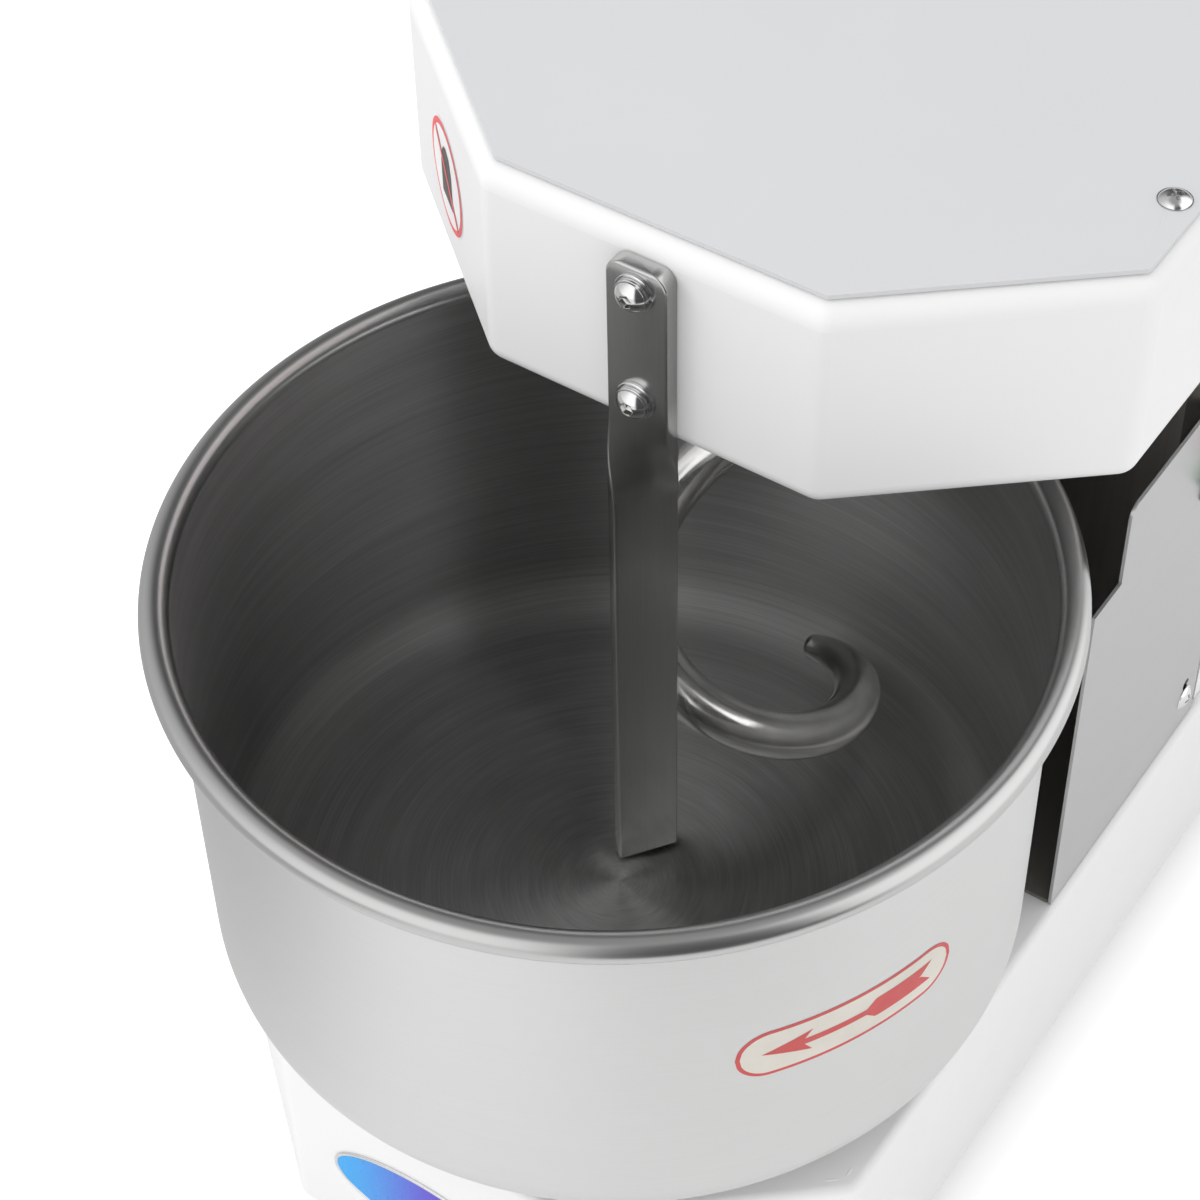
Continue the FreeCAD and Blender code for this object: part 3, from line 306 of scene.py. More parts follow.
def rubber(name, color):
    """Matt rubber of uneven tone."""
    made = Shader(name, color, 0.7, Specular_IOR_Level=0.3)
    place = made.place()
    made.color(made.tint(made.noise(place, 60.0, 5.0), scaled(color, 0.7), scaled(color, 1.5)))
    made.roughness(made.ramp(made.noise(place, 300.0, 4.0), 0.6, 0.82))
    made.bump(made.noise(place, 2200.0, 3.0), 0.00005, 0.6)
    return made.material


def column_steel(name):
    """Dark steel, brushed upright."""
    made = Shader(name, (0.5, 0.48, 0.46), 0.34, 0.95)
    lines = made.noise(made.stretched((900.0, 900.0, 12.0)), 1.0, 5.0, 0.65)
    made.color(made.tint(lines, (0.44, 0.42, 0.39), (0.52, 0.50, 0.47)))
    made.roughness(made.ramp(lines, 0.38, 0.44))
    made.bump(lines, 0.000002, 0.5)
    return made.material


def bar_steel(name, color, roughness, bright_z):
    """The bar's brushed steel: above bright_z it is duller, a lower metallic share that lightens
    it as painted light, and its narrow sides are darkened as painted shade.
    """
    material = brushed(name, color, roughness, "z", 0.4, 0.06)
    nodes = Nodes(material.node_tree)
    surface = material.node_tree.nodes["Principled BSDF"]
    height = nodes.axes(nodes.node("ShaderNodeTexCoord").outputs["Object"])["Z"]
    above = nodes.ramp(height, 0.0, 1.0, bright_z, bright_z + 0.02, True)
    # Painted light: above bright_z a lower metallic share lets the base colour show, so the upper
    # bar reads lighter.
    nodes.feed(surface.inputs["Metallic"], nodes.math("MULTIPLY_ADD", above, -0.09, 1.0))
    # Painted shade: above bright_z, faces that look along world X, the bar's narrow sides, get a
    # darker copy of its steel.
    across = nodes.axes(nodes.node("ShaderNodeNewGeometry").outputs["Normal"])["X"]
    painted_shade_sides = nodes.ramp(nodes.math("ABSOLUTE", across), 0.0, 0.6, 0.4, 0.95)
    edge = nodes.math("MULTIPLY", above, painted_shade_sides)
    steel_tone = surface.inputs["Base Color"].links[0].from_socket
    nodes.feed(surface.inputs["Base Color"],
               nodes.blend(edge, steel_tone, (*scaled(color, 0.25), 1.0)))
    return material


def faded(name, left_color, right_color, half_w):
    """Glossy print that runs from one colour to another along X."""
    made = Shader(name, left_color, 0.3, Specular_IOR_Level=0.2, Coat_Weight=0.1,
                  Coat_Roughness=0.1)
    place = made.place()
    share = made.ramp(made.axes(place)["X"], 0.0, 1.0, -half_w, half_w * 0.2, True)
    mottled = made.math("MULTIPLY_ADD", made.noise(place, 120.0, 2.0), 0.04, share)
    made.color(made.blend(mottled, (*left_color, 1.0), (*right_color, 1.0)))
    made.roughness(made.ramp(made.noise(place, 300.0, 3.0), 0.26, 0.34))
    return made.material


WHITE = painted("white_powder_coat", (0.80, 0.80, 0.80))
COVER = painted("grey_powder_coat", (0.60, 0.605, 0.62), 0.36)
DARK_PAINT = painted("dark_frame_paint", (0.045, 0.043, 0.038), 0.5)
# Painted shade: the foot plate's dark paint stands for the shade seen past the side panels' front
# edges.
SHADE_PLATE_PAINT = painted("foot_plate_shade_paint", (0.15, 0.145, 0.13), 0.45)
COLUMN = column_steel("column_steel")
# Painted shade: the bowl is one steel sheet, but its inside and rim bead get darker copies of the
# outside's tone.
INSIDE_SHADED_STEEL = spun("bowl_inside_shaded_steel", (0.47, 0.47, 0.465), 0.42, 0.96, 0.2)
OUTER_STEEL = spun("bowl_outside_steel", (0.67, 0.67, 0.665), 0.38, 0.5, 0.02)
RIM_SHADED_STEEL = spun("bowl_rim_shaded_steel", (0.52, 0.52, 0.515), 0.30, 0.0, 0.03)
POLISHED = metal("polished_steel", (0.72, 0.715, 0.70), 0.15, 0.08)
BAR_STEEL = bar_steel("bar_steel", (0.56, 0.56, 0.55), 0.22, BAR_TWIST_Z[0])
PANEL_STEEL = brushed("panel_steel", (0.49, 0.49, 0.49), 0.36, "y", 0.5, 0.03)
PLATED = metal("zinc_plate", (0.74, 0.74, 0.74), 0.16, 0.06, 200.0)
BOLT_STEEL = metal("bright_bolt_steel", (0.74, 0.74, 0.73), 0.13, 0.05, 200.0)
TURNED = spun("turned_steel", (0.50, 0.50, 0.51), 0.25)
CAST = cast("cast_housing", (0.10, 0.11, 0.12))
ALUMINIUM = spun("machined_aluminium", (0.70, 0.71, 0.72), 0.3)
BELT = rubber("belt_rubber_black", (0.02, 0.02, 0.02))
FOOT = rubber("foot_rubber_black", (0.03, 0.03, 0.03))
MOTOR = painted("motor_enamel", (0.06, 0.09, 0.14), 0.4, 0.0001)
STATOR = cast("stator_laminations", (0.20, 0.15, 0.11))
BLACK = plastic("black_plastic", (0.02, 0.02, 0.022), 0.42)
GREY = plastic("grey_plastic", (0.25, 0.26, 0.27), 0.45)
GREEN = plastic("green_plastic", (0.02, 0.30, 0.07), 0.22, 0.00001, Coat_Weight=0.3)
RED = plastic("red_plastic", (0.55, 0.015, 0.012), 0.22, 0.00001, Coat_Weight=0.3)
SILVER_EDGE = metal("badge_silver_edge", (0.70, 0.70, 0.71), 0.18, 0.04, 200.0)
BADGE_PRINT = faded("badge_blue_violet", (0.012, 0.36, 0.80), (0.10, 0.06, 0.56), BADGE_HALF[0])
LABEL_RED = plastic("label_red_print", (0.56, 0.06, 0.06), 0.45, 0.000005)
LABEL_BRIGHT_RED = plastic("label_bright_red_print", (0.80, 0.10, 0.11), 0.45, 0.000005)
LABEL_CREAM = plastic("label_cream_print", (0.67, 0.63, 0.565), 0.45, 0.000005)
LABEL_WHITE = plastic("label_white_print", (0.82, 0.82, 0.82), 0.4, 0.000005)
LABEL_DARK = plastic("label_dark_print", (0.07, 0.065, 0.06), 0.45, 0.000005)

SLOT_LOOKS = {
    "white_paint": WHITE, "cover_paint": COVER, "bowl_steel": OUTER_STEEL,
    "polished_steel": POLISHED, "bar_steel": BAR_STEEL, "panel_steel": PANEL_STEEL,
    "frame_steel": DARK_PAINT, "plated_steel": PLATED, "shaft_steel": TURNED,
    "cast_iron": CAST, "pulley_metal": ALUMINIUM, "belt_rubber": BELT, "foot_rubber": FOOT,
    "motor_paint": MOTOR, "stator_iron": STATOR, "fan_plastic": BLACK, "black_plastic": BLACK,
    "grey_plastic": GREY, "green_plastic": GREEN, "red_plastic": RED, "badge": BADGE_PRINT,
}


# ---------------------------------------------------------------- mesh helpers

NEAR_ZERO = 1e-5


def finish_mesh(mesh_data, name, looks, body, replaces=(), sharp=35.0, at=(0, 0, 0)):
    """Object from a bmesh: smooth shading with sharp edges kept, riding on a body."""
    bmesh.ops.remove_doubles(mesh_data, verts=mesh_data.verts, dist=1e-7)
    bmesh.ops.recalc_face_normals(mesh_data, faces=mesh_data.faces)
    mesh = bpy.data.meshes.new(name)
    mesh_data.to_mesh(mesh)
    mesh_data.free()
    for look in looks if isinstance(looks, (list, tuple)) else (looks,):
        mesh.materials.append(look)
    mesh.shade_smooth()
    mesh.set_sharp_from_angle(angle=math.radians(sharp))
    made = bpy.data.objects.new(name, mesh)
    made.location = at
    bpy.context.scene.collection.objects.link(made)
    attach(made, body)
    if replaces:
        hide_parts(*replaces)


def skin(rings, closed_ends=True, materials=()):
    """Surface through rings of equal length; materials gives an index for each band."""
    made = bmesh.new()
    rows = [[made.verts.new(point) for point in ring] for ring in rings]
    count = len(rows[0])
    for i in range(len(rows) - 1):
        for j in range(count):
            k = (j + 1) % count
            face = made.faces.new((rows[i][j], rows[i][k], rows[i + 1][k], rows[i + 1][j]))
            if materials:
                face.material_index = materials[i]
    if closed_ends:
        made.faces.new(rows[0][::-1])
        made.faces.new(rows[-1])
    return made


def turns(segments):
    """Angles of evenly spaced points round a circle."""
    return [2.0 * math.pi * i / segments for i in range(segments)]


def turned_rings(profile, segments=96):
    """Rings of a turned body; profile holds (radius, z), and radii near zero close to a point."""
    return [[(radius * math.cos(turn), radius * math.sin(turn), z) for turn in turns(segments)]
            for radius, z in profile]


def arc(center, radius, start, end, steps):
    """Points of an arc in the (r, z) plane, angles in degrees."""
    points = []
    for i in range(steps + 1):
        angle = math.radians(start + (end - start) * i / steps)
        points.append((center[0] + radius * math.cos(angle), center[1] + radius * math.sin(angle)))
    return points


def rounded_rectangle(half_w, half_t, radius):
    points, steps = [], 4
    for cx, cy, start in ((1, 1, 0), (-1, 1, 90), (-1, -1, 180), (1, -1, 270)):
        for i in range(steps + 1):
            angle = math.radians(start + 90.0 * i / steps)
            points.append((cx * (half_w - radius) + radius * math.cos(angle),
                           cy * (half_t - radius) + radius * math.sin(angle)))
    return points


def ease(share):
    """Smooth rise from 0 to 1."""
    share = max(0.0, min(1.0, share))
    return share * share * (3.0 - 2.0 * share)


# ---------------------------------------------------------------- bowl

def make_bowl():
    """Spun bowl in one skin: inside, rolled rim bead, tuck under the bead, outside."""
    outer_r = BOWL_INNER_R + BOWL_SHEET
    center_r = outer_r - BOWL_CORNER_R
    center_z = BOWL_BOTTOM_Z + BOWL_CORNER_R
    inner_corner = BOWL_CORNER_R - BOWL_SHEET
    floor_z = BOWL_BOTTOM_Z + BOWL_SHEET
    bead = (BOWL_INNER_R + BEAD_R, RIM_Z)
    floor_step = 0.004
    wall_z = (0.2, 0.23, 0.26, 0.29, 0.32)
    inside = [(NEAR_ZERO, floor_z)]
    inside += [(floor_step * i, floor_z) for i in range(1, int(center_r / floor_step))]
    inside += arc((center_r, center_z), inner_corner, -90, 0, 24)
    inside += [(BOWL_INNER_R, z) for z in (*wall_z, 0.34, 0.3495)]
    bead_arc = arc(bead, BEAD_R, 180, -120, 40)
    tuck = [(outer_r + 0.0004, RIM_Z - 0.0066), (outer_r, RIM_Z - 0.0072)]
    outside = [(outer_r, z) for z in (0.345, *reversed(wall_z))]
    outside += arc((center_r, center_z), BOWL_CORNER_R, 0, -90, 24)
    outside += [(center_r - 0.03, BOWL_BOTTOM_Z), (NEAR_ZERO, BOWL_BOTTOM_Z)]
    profile = inside + bead_arc + tuck + outside
    bands = [0] * len(inside) + [1] * (len(bead_arc) + 1)
    bands += [2] * (len(profile) - 1 - len(bands))
    made = skin(turned_rings(profile, 288), False, bands)
    finish_mesh(made, "mixing_bowl", (INSIDE_SHADED_STEEL, RIM_SHADED_STEEL, OUTER_STEEL), "bowl",
                ("bowl",), 50, (0, BOWL_Y, 0))


# ---------------------------------------------------------------- spiral tool

HELIX_STEPS, NECK_STEPS, TIP_CAP_STEPS = 220, 12, 8
TIP_BLUNTNESS = 0.6


def spiral_point(turn):
    """Centre of the rod after a turn in radians from its tip."""
    angle = TIP_ANGLE - turn
    steady = min(turn, HELIX_TURN)
    z = TIP_Z + HELIX_RISE * steady + HELIX_RISE_GAIN * steady * steady
    radius = HELIX_R - TIP_DRAW_IN * max(0.0, 1.0 - turn / TAPER_TURN) ** 2
    if turn > HELIX_TURN:
        slope = HELIX_RISE + 2.0 * HELIX_RISE_GAIN * HELIX_TURN
        z += slope * (turn - HELIX_TURN)
        radius *= 1.0 - ease((turn - HELIX_TURN) / RUN_IN_TURN)
    return Vector((radius * math.cos(angle), radius * math.sin(angle), z))


def spiral_path():
    """Points and radii of the rod: tapered tip, helix, run-in to the axis, straight neck."""
    path, radii = [], []
    for i in range(HELIX_STEPS + 1):
        turn = (HELIX_TURN + RUN_IN_TURN) * i / HELIX_STEPS
        path.append(spiral_point(turn))
        share = min(1.0, turn / TAPER_TURN)
        radii.append(TIP_R + (ROD_R - TIP_R) * math.sin(share * math.pi / 2.0))
    low, high = path[-1].z, HOOK_TOP_Z - HOOK_FLANGE_T + 0.001
    for i in range(1, NECK_STEPS + 1):
        path.append(Vector((0, 0, low + (high - low) * i / NECK_STEPS)))
        radii.append(ROD_R)
    return path, radii


def rod_ring(centre, across, side, radius):
    return [centre + across * radius * math.cos(turn) + side * radius * math.sin(turn)
            for turn in turns(64)]


def make_spiral():
    """Round rod swept along its path, with a blunt rounded tip, and its mounting flange."""
    path, radii = spiral_path()
    rings = []
    across = Vector((0, 0, 1))
    for i, point in enumerate(path):
        ahead = (path[min(i + 1, len(path) - 1)] - path[max(i - 1, 0)]).normalized()
        across = (across - ahead * across.dot(ahead)).normalized()
        side = ahead.cross(across)
        if i == 0:
            for k in range(TIP_CAP_STEPS):
                angle = math.pi / 2.0 * k / TIP_CAP_STEPS
                cap = radii[0] * max(0.02, math.sin(angle)) ** TIP_BLUNTNESS
                centre = point - ahead * TIP_CAP_LENGTH * math.cos(angle)
                rings.append(rod_ring(centre, across, side, cap))
        rings.append(rod_ring(point, across, side, radii[i]))
    finish_mesh(skin(rings), "spiral_tool", POLISHED, "spiral",
                ("spiral_hook",), 50, (0, SPIRAL_Y, 0))
    r, bore, edge = HOOK_FLANGE_R, 0.008, 0.001
    low, high = HOOK_TOP_Z - HOOK_FLANGE_T, HOOK_TOP_Z
    profile = [(bore, low), (r - edge, low), (r, low + edge), (r, high - edge), (r - edge, high),
               (bore, high)]
    finish_mesh(skin(turned_rings(profile, 72), False), "spiral_tool_flange", TURNED, "spiral",
                (), 30, (0, SPIRAL_Y, 0))


# ---------------------------------------------------------------- breaker bar

def make_bar():
    """Flat bar that twists below the head, with eased edges and rounded ends."""
    top, bottom = BAR_TWIST_Z
    middle_y = HEAD_FRONT_Y - BAR_T / 2.0
    edge = 0.0012
    rings = []

    def ring(z, half_w, half_t, turn, radius=edge):
        turned = Matrix.Rotation(turn, 3, "Z")
        return [Vector((0, middle_y, z)) + turned @ Vector((x, y, 0))
                for x, y in rounded_rectangle(half_w, half_t, radius)]

    half_w, half_t = BAR_W / 2.0, BAR_T / 2.0
    for i in range(5):
        angle = math.pi / 2.0 * i / 4.0
        shrink = edge * (1.0 - math.sin(angle))
        rings.append(ring(BAR_BOTTOM_Z + edge * (1.0 - math.cos(angle)), half_w - shrink,
                          half_t - shrink, BAR_TWIST, edge - shrink * 0.9))
    for i in range(1, 12):
        rings.append(ring(BAR_BOTTOM_Z + (bottom - BAR_BOTTOM_Z) * i / 12.0, half_w, half_t,
                          BAR_TWIST))
    for i in range(41):
        share = i / 40.0
        rings.append(ring(bottom + (top - bottom) * share, half_w, half_t,
                          BAR_TWIST * (1.0 - ease(share))))
    shoulder = BAR_TOP_Z - BAR_TOP_R
    for i in range(1, 9):
        rings.append(ring(top + (shoulder - top) * i / 8.0, half_w, half_t, 0.0))
    for i in range(1, 17):
        rise = BAR_TOP_R * math.sin(math.pi / 2.0 * i / 16.0)
        width = half_w - BAR_TOP_R + math.sqrt(max(0.0, BAR_TOP_R ** 2 - rise ** 2))
        to_top = BAR_TOP_R - rise
        soften = edge - math.sqrt(max(0.0, edge ** 2 - max(0.0, edge - to_top) ** 2))
        rings.append(ring(shoulder + rise, width - soften * 0.3, half_t - soften, 0.0,
                          edge - soften * 0.9))
    finish_mesh(skin(rings), "breaker_bar_blade", BAR_STEEL, "frame",
                ("breaker_bar",), 40)


# ---------------------------------------------------------------- fasteners

def hex_recess(across_flats):
    """Outline radius of a hexagonal socket at an angle."""
    def radius(angle):
        return across_flats / 2.0 / math.cos((angle + math.pi / 6) % (math.pi / 3) - math.pi / 6)
    return radius


def cross_recess(reach, half_slot):
    """Outline radius of a cross slot at an angle."""
    def radius(angle):
        off = abs((angle + math.pi / 4) % (math.pi / 2) - math.pi / 4)
        return min(reach / math.cos(off), half_slot / max(1e-6, math.sin(off)))
    return radius


def domed_head(radius, height, recess, depth):
    """Rings of a domed head on z = 0 with a recess in its top, from the recess outwards."""
    ball_r = (radius * radius + height * height) / (2.0 * height)
    rim = height * 0.12
    lip, dome_steps = 1.08, 14
    angles = turns(120)

    def top(r):
        return max(rim, height - ball_r + math.sqrt(max(0.0, ball_r * ball_r - r * r)))

    def ring(reach, level):
        return [(reach(a) * math.cos(a), reach(a) * math.sin(a), level(reach(a))) for a in angles]

    rings = [ring(lambda a: recess(a) * share, lambda r: height - depth * sunk)
             for share, sunk in ((0.02, 1.12), (0.55, 1.06), (0.94, 1.0), (1.0, 0.8))]
    rings += [ring(lambda a: recess(a) * share, lambda r: top(r) - drop)
              for share, drop in ((1.0, 0.00018), (1.035, 0.00004), (lip, 0.0))]
    for k in range(1, dome_steps + 1):
        rings.append(ring(lambda a: recess(a) * lip + (radius - recess(a) * lip) * k / dome_steps,
                          top))
    return rings + turned_rings([(radius, 0.0)], len(angles))


def spring_ring(inner_r, outer_r, thickness, lift):
    """Square-section ring with a narrow split whose ends stand apart."""
    gap, segments, edge = math.radians(7), 72, thickness * 0.1
    rings = []
    for i in range(segments + 1):
        turn = gap / 2.0 + (2.0 * math.pi - gap) * i / segments
        rise = lift * i / segments
        section = [(inner_r, edge), (inner_r + edge, 0), (outer_r - edge, 0), (outer_r, edge),
                   (outer_r, thickness - edge), (outer_r - edge, thickness),
                   (inner_r + edge, thickness), (inner_r, thickness - edge)]
        rings.append([(r * math.cos(turn), r * math.sin(turn), z + rise) for r, z in section])
    return rings


def aimed(origin, axis, side):
    """Matrix whose Z is axis and whose X is side."""
    z, x = Vector(axis), Vector(side)
    return Matrix.Translation(origin) @ Matrix((x, z.cross(x), z)).transposed().to_4x4()


def gathered(groups):
    """One bmesh from (rings, matrix, closed ends) groups."""
    made = bmesh.new()
    for rings, matrix, ends in groups:
        part = skin(rings, ends)
        part.transform(matrix)
        held = bpy.data.meshes.new("held")
        part.to_mesh(held)
        part.free()
        made.from_mesh(held)
        bpy.data.meshes.remove(held)
    return made


def make_cross_screws(name, places, radius, height, node):
    """places holds (origin, axis, side) for each screw."""
    recess = cross_recess(radius * 0.46, radius * 0.1)
    rings = domed_head(radius, height, recess, height * 0.5)
    foot = [(radius * 0.9, 0.0), (radius * 0.9, -0.0002), (radius * 0.4, -0.0003),
            (NEAR_ZERO, -0.0003)]
    rings += turned_rings(foot, len(rings[0]))
    groups = [(rings, aimed(*place), True) for place in places]
    finish_mesh(gathered(groups), name, PLATED, "frame", (node,), 28)


def make_all_cross_screws():
    """Screws of the head's cover, the side panels and the rear cover."""
    slant = math.sqrt(0.5)
    cover = [((x, y, HEAD_TOP_Z + COVER_T), (0, 0, 1), (slant, slant if x * y > 0 else -slant, 0))
             for x in (-COVER_SCREW_X, COVER_SCREW_X) for y in COVER_SCREW_Y]
    make_cross_screws("cover_screws", cover, 0.0068, 0.0034, "head_cover_screws")
    for name, x, at, radius, height, node in (
            ("side_panel_screws", PANEL_OUT_X, PANEL_SCREWS, 0.0063, 0.003, "panel_screws"),
            ("rear_screws", COVER_SIDE_X, REAR_SCREWS, 0.0055, 0.0028, "rear_cover_screws")):
        places = [((side * x, y, z), (side, 0, 0), (0, math.cos(turn), math.sin(turn)))
                  for turn, (y, z) in enumerate(at) for side in (-1, 1)]
        make_cross_screws(name, places, radius, height, node)


def make_bar_bolts():
    """Socket button-head bolts on split and flat washers."""
    face_y, out = HEAD_FRONT_Y - BAR_T, (0, -1, 0)
    bore_r, flat_r, spring_r, edge = 0.0043, 0.0085, 0.0073, 0.00025
    flat_t, spring_t, slack = 0.0016, 0.0018, 0.0002
    washer = [(bore_r, 0), (flat_r - edge, 0), (flat_r, edge), (flat_r, flat_t - edge),
              (flat_r - edge, flat_t), (bore_r, flat_t)]
    head_r, head_t, key_w, key_depth = 0.0070, 0.0041, 0.0052, 0.0028
    shank_r, shank_l = 0.004, 0.0035
    shank = [(shank_r, 0.0), (shank_r, -shank_l), (NEAR_ZERO, -shank_l)]
    washers, bolts = [], []
    for i, z in enumerate(BAR_BOLT_Z):
        turn = -2.3 - 0.4 * i
        side = (math.cos(turn), 0, math.sin(turn))
        seat = aimed((0, face_y, z), out, side)
        washers.append((turned_rings(washer), seat, False))
        lifted = aimed((0, face_y - flat_t, z), out, side)
        washers.append((spring_ring(bore_r, spring_r, spring_t, slack), lifted, True))
        top = aimed((0, face_y - flat_t - spring_t - slack, z), out, side)
        head = domed_head(head_r, head_t, hex_recess(key_w), key_depth)
        head += turned_rings(shank, len(head[0]))
        bolts.append((head, top, True))
    finish_mesh(gathered(washers), "bar_washers", PLATED, "frame",
                ("breaker_washers",), 30)
    finish_mesh(gathered(bolts), "bar_bolts", BOLT_STEEL, "frame",
                ("breaker_bolts",), 30)


# ---------------------------------------------------------------- badge and labels

def make_badge():
    """Slightly domed ellipse with a raised silver edge."""
    half_w, half_h = BADGE_HALF
    print_w, print_h = half_w - BADGE_EDGE_W, half_h - BADGE_EDGE_W
    edge_out, dome_rise, dome_steps = 0.0008, 0.00035, 10
    edge = [(half_w - inset, half_h - inset, out) for inset, out in (
        (0.0, 0.0), (0.0, 0.0007), (0.0003, 0.0010), (0.0009, 0.0012), (0.0015, 0.0011),
        (BADGE_EDGE_W, edge_out))]
    dome = []
    for i in range(1, dome_steps + 1):
        inward = (print_h - 0.0001) * i / dome_steps
        out = edge_out + dome_rise * math.sin(math.pi / 2.0 * i / dome_steps)
        dome.append((print_w * (1.0 - inward / print_h), print_h - inward, out))
    rings = [[(w * math.cos(turn), -out, h * math.sin(turn)) for turn in turns(144)]
             for w, h, out in edge + dome]
    bands = [0] * (len(edge) - 1) + [1] * len(dome)
    finish_mesh(skin(rings, True, bands), "front_badge", (SILVER_EDGE, BADGE_PRINT), "frame",
                ("base_badge",), 40, (0, BASE_FRONT_Y, BADGE_Z))


def layered(shapes):
    """Flat shapes in one mesh; each is (rows of points, material index)."""
    made = bmesh.new()
    for rows, index in shapes:
        grid = [[made.verts.new(point) for point in row] for row in rows]
        for i in range(len(grid) - 1):
            for j in range(len(grid[i]) - 1):
                corners = []
                for vert in (grid[i][j], grid[i][j + 1], grid[i + 1][j + 1], grid[i + 1][j]):
                    if all((vert.co - other.co).length > 1e-7 for other in corners):
                        corners.append(vert)
                if len(corners) > 2:
                    face = made.faces.new(corners)
                    face.material_index = index
    return made


def strip(low, high, start, end, steps, place):
    """Rows across a stretch: low and high give the edges at each distance along it."""
    rows = []
    for i in range(steps + 1):
        along = start + (end - start) * i / steps
        bottom, top = low(along), high(along)
        rows.append([place(along, bottom + (top - bottom) * k / 4.0) for k in range(5)])
    return rows


def between(points):
    """Function of distance that runs straight from point to point."""
    def value(along):
        for (a, low), (b, high) in zip(points, points[1:]):
            if along <= b:
                return low + (high - low) * max(0.0, along - a) / (b - a)
        return points[-1][1]
    return value


def make_arrow_label():
    """Round-ended label on the bowl with an arrow for its sense of turning."""
    outer_r = BOWL_INNER_R + BOWL_SHEET
    lift, layer_t = 0.00008, 0.00006

    def on_bowl(layer):
        radius = outer_r + lift + layer_t * layer

        def place(along, up):
            angle = ARROW_AZIMUTH + along / outer_r
            return (radius * math.cos(angle), radius * math.sin(angle), ARROW_Z + up)
        return place

    def stadium(inset):
        def half(along):
            r = ARROW_HALF_H - inset
            over = max(0.0, abs(along) - (ARROW_HALF_L - ARROW_HALF_H))
            return math.sqrt(max(0.0, r * r - over * over))
        return half

    shapes = []
    for layer, (inset, index) in enumerate(((0.0, 0), (ARROW_BORDER, 1))):
        half = stadium(inset)
        reach = ARROW_HALF_L - inset
        shapes.append((strip(lambda a: -half(a), half, -reach, reach, 120, on_bowl(layer)), index))
    shaft, barb, tail = 0.0018, 0.0066, 0.0060
    tip, barb_back, notch = -0.0400, -0.0185, -0.0232
    flare, full, notch_in, tip_out = 0.0060, 0.0105, 0.0335, 0.0395
    shaft_start, shaft_end = notch - 0.0015, flare + 0.001
    outer_head = between([(tip, 0.0), (barb_back, barb)])
    inner_head = between([(tip, 0.0), (notch, 0.0), (barb_back, barb)])
    outer_tail = between([(flare, shaft), (full, tail), (tip_out, tail)])
    inner_tail = between([(flare, 0.0), (notch_in, 0.0), (tip_out, tail)])
    place = on_bowl(2)
    for low, high, start, end in ((inner_head, outer_head, tip, barb_back),
                                  (lambda a: 0.0, lambda a: shaft, shaft_start, shaft_end),
                                  (inner_tail, outer_tail, flare, tip_out)):
        for side in (1.0, -1.0):
            shapes.append((strip(lambda a: side * low(a), lambda a: side * high(a), start, end, 24,
                                 place), 0))
    finish_mesh(layered(shapes), "turning_arrow_label", (LABEL_RED, LABEL_CREAM), "bowl",
                (), 30, (0, BOWL_Y, 0))


def make_round_label():
    """Round label on the head's left oblique face: red ring, plain dark shape, red slash."""
    slope = Vector((NOSE_HALF_W - HEAD_HALF_W, NOSE_DEPTH, 0)).normalized()
    out = Vector((-slope.y, slope.x, 0))
    start = Vector((-NOSE_HALF_W, HEAD_FRONT_Y, 0))
    middle = start + slope * ROUND_LABEL_ALONG + Vector((0, 0, ROUND_LABEL_Z))

    def on_face(layer):
        lift = out * (PRINT_LIFT * (layer + 1))

        def place(along, up):
            return tuple(middle + slope * along + Vector((0, 0, up)) + lift)
        return place

    def disc(inset, layer, index):
        radius = ROUND_LABEL_R - inset

        def half(along):
            return math.sqrt(max(0.0, radius * radius - along * along))
        return strip(lambda a: -half(a), half, -radius, radius, 72, on_face(layer)), index

    shapes = [disc(0.0, 0, 0), disc(ROUND_RING_OUT, 1, 1), disc(ROUND_RING_IN, 2, 0)]
    shape_foot, shape_half_w = -0.0125, 0.0085
    shape_top = between([(-shape_half_w, 0.005), (-0.006, 0.0125), (-0.001, 0.0150),
                         (0.003, 0.0135), (0.0065, 0.0090), (shape_half_w, 0.0030)])
    shapes.append((strip(lambda a: shape_foot, shape_top, -shape_half_w, shape_half_w, 24,
                         on_face(3)), 2))
    slash_half_w, slash_reach = 0.0021, 0.0155
    shapes.append((strip(lambda a: a - slash_half_w, lambda a: a + slash_half_w, -slash_reach,
                         slash_reach, 12, on_face(4)), 1))
    finish_mesh(layered(shapes), "round_label", (LABEL_WHITE, LABEL_BRIGHT_RED, LABEL_DARK),
                "frame", (), 30)


# ---------------------------------------------------------------- small parts

def make_feet():
    """Rubber feet with turned ribs and a chamfered sole."""
    taper = 0.005 / FOOT_TOP_Z
    ribs, first_groove, pitch, groove = 4, 0.0055, 0.0058, 0.0012
    profile = [(NEAR_ZERO, 0.0), (FOOT_R - 0.004, 0.0), (FOOT_R - 0.0015, 0.0008),
               (FOOT_R - 0.0003, 0.0022)]
    for i in range(ribs):
        z = first_groove + pitch * i
        r = FOOT_R - taper * z
        profile += [(r, z), (r - groove, z + 0.0007), (r - groove, z + 0.0019), (r, z + 0.0026)]
    r = FOOT_R - taper * FOOT_TOP_Z
    profile += [(r, FOOT_TOP_Z - 0.0008), (r - 0.0008, FOOT_TOP_Z), (NEAR_ZERO, FOOT_TOP_Z)]
    rings = turned_rings(profile, 72)
    groups = [(rings, Matrix.Translation((x, y, 0)), False)
              for x in (-FOOT_X, FOOT_X) for y in FOOT_Y]
    finish_mesh(gathered(groups), "ribbed_feet", FOOT, "frame", ("feet",), 30)


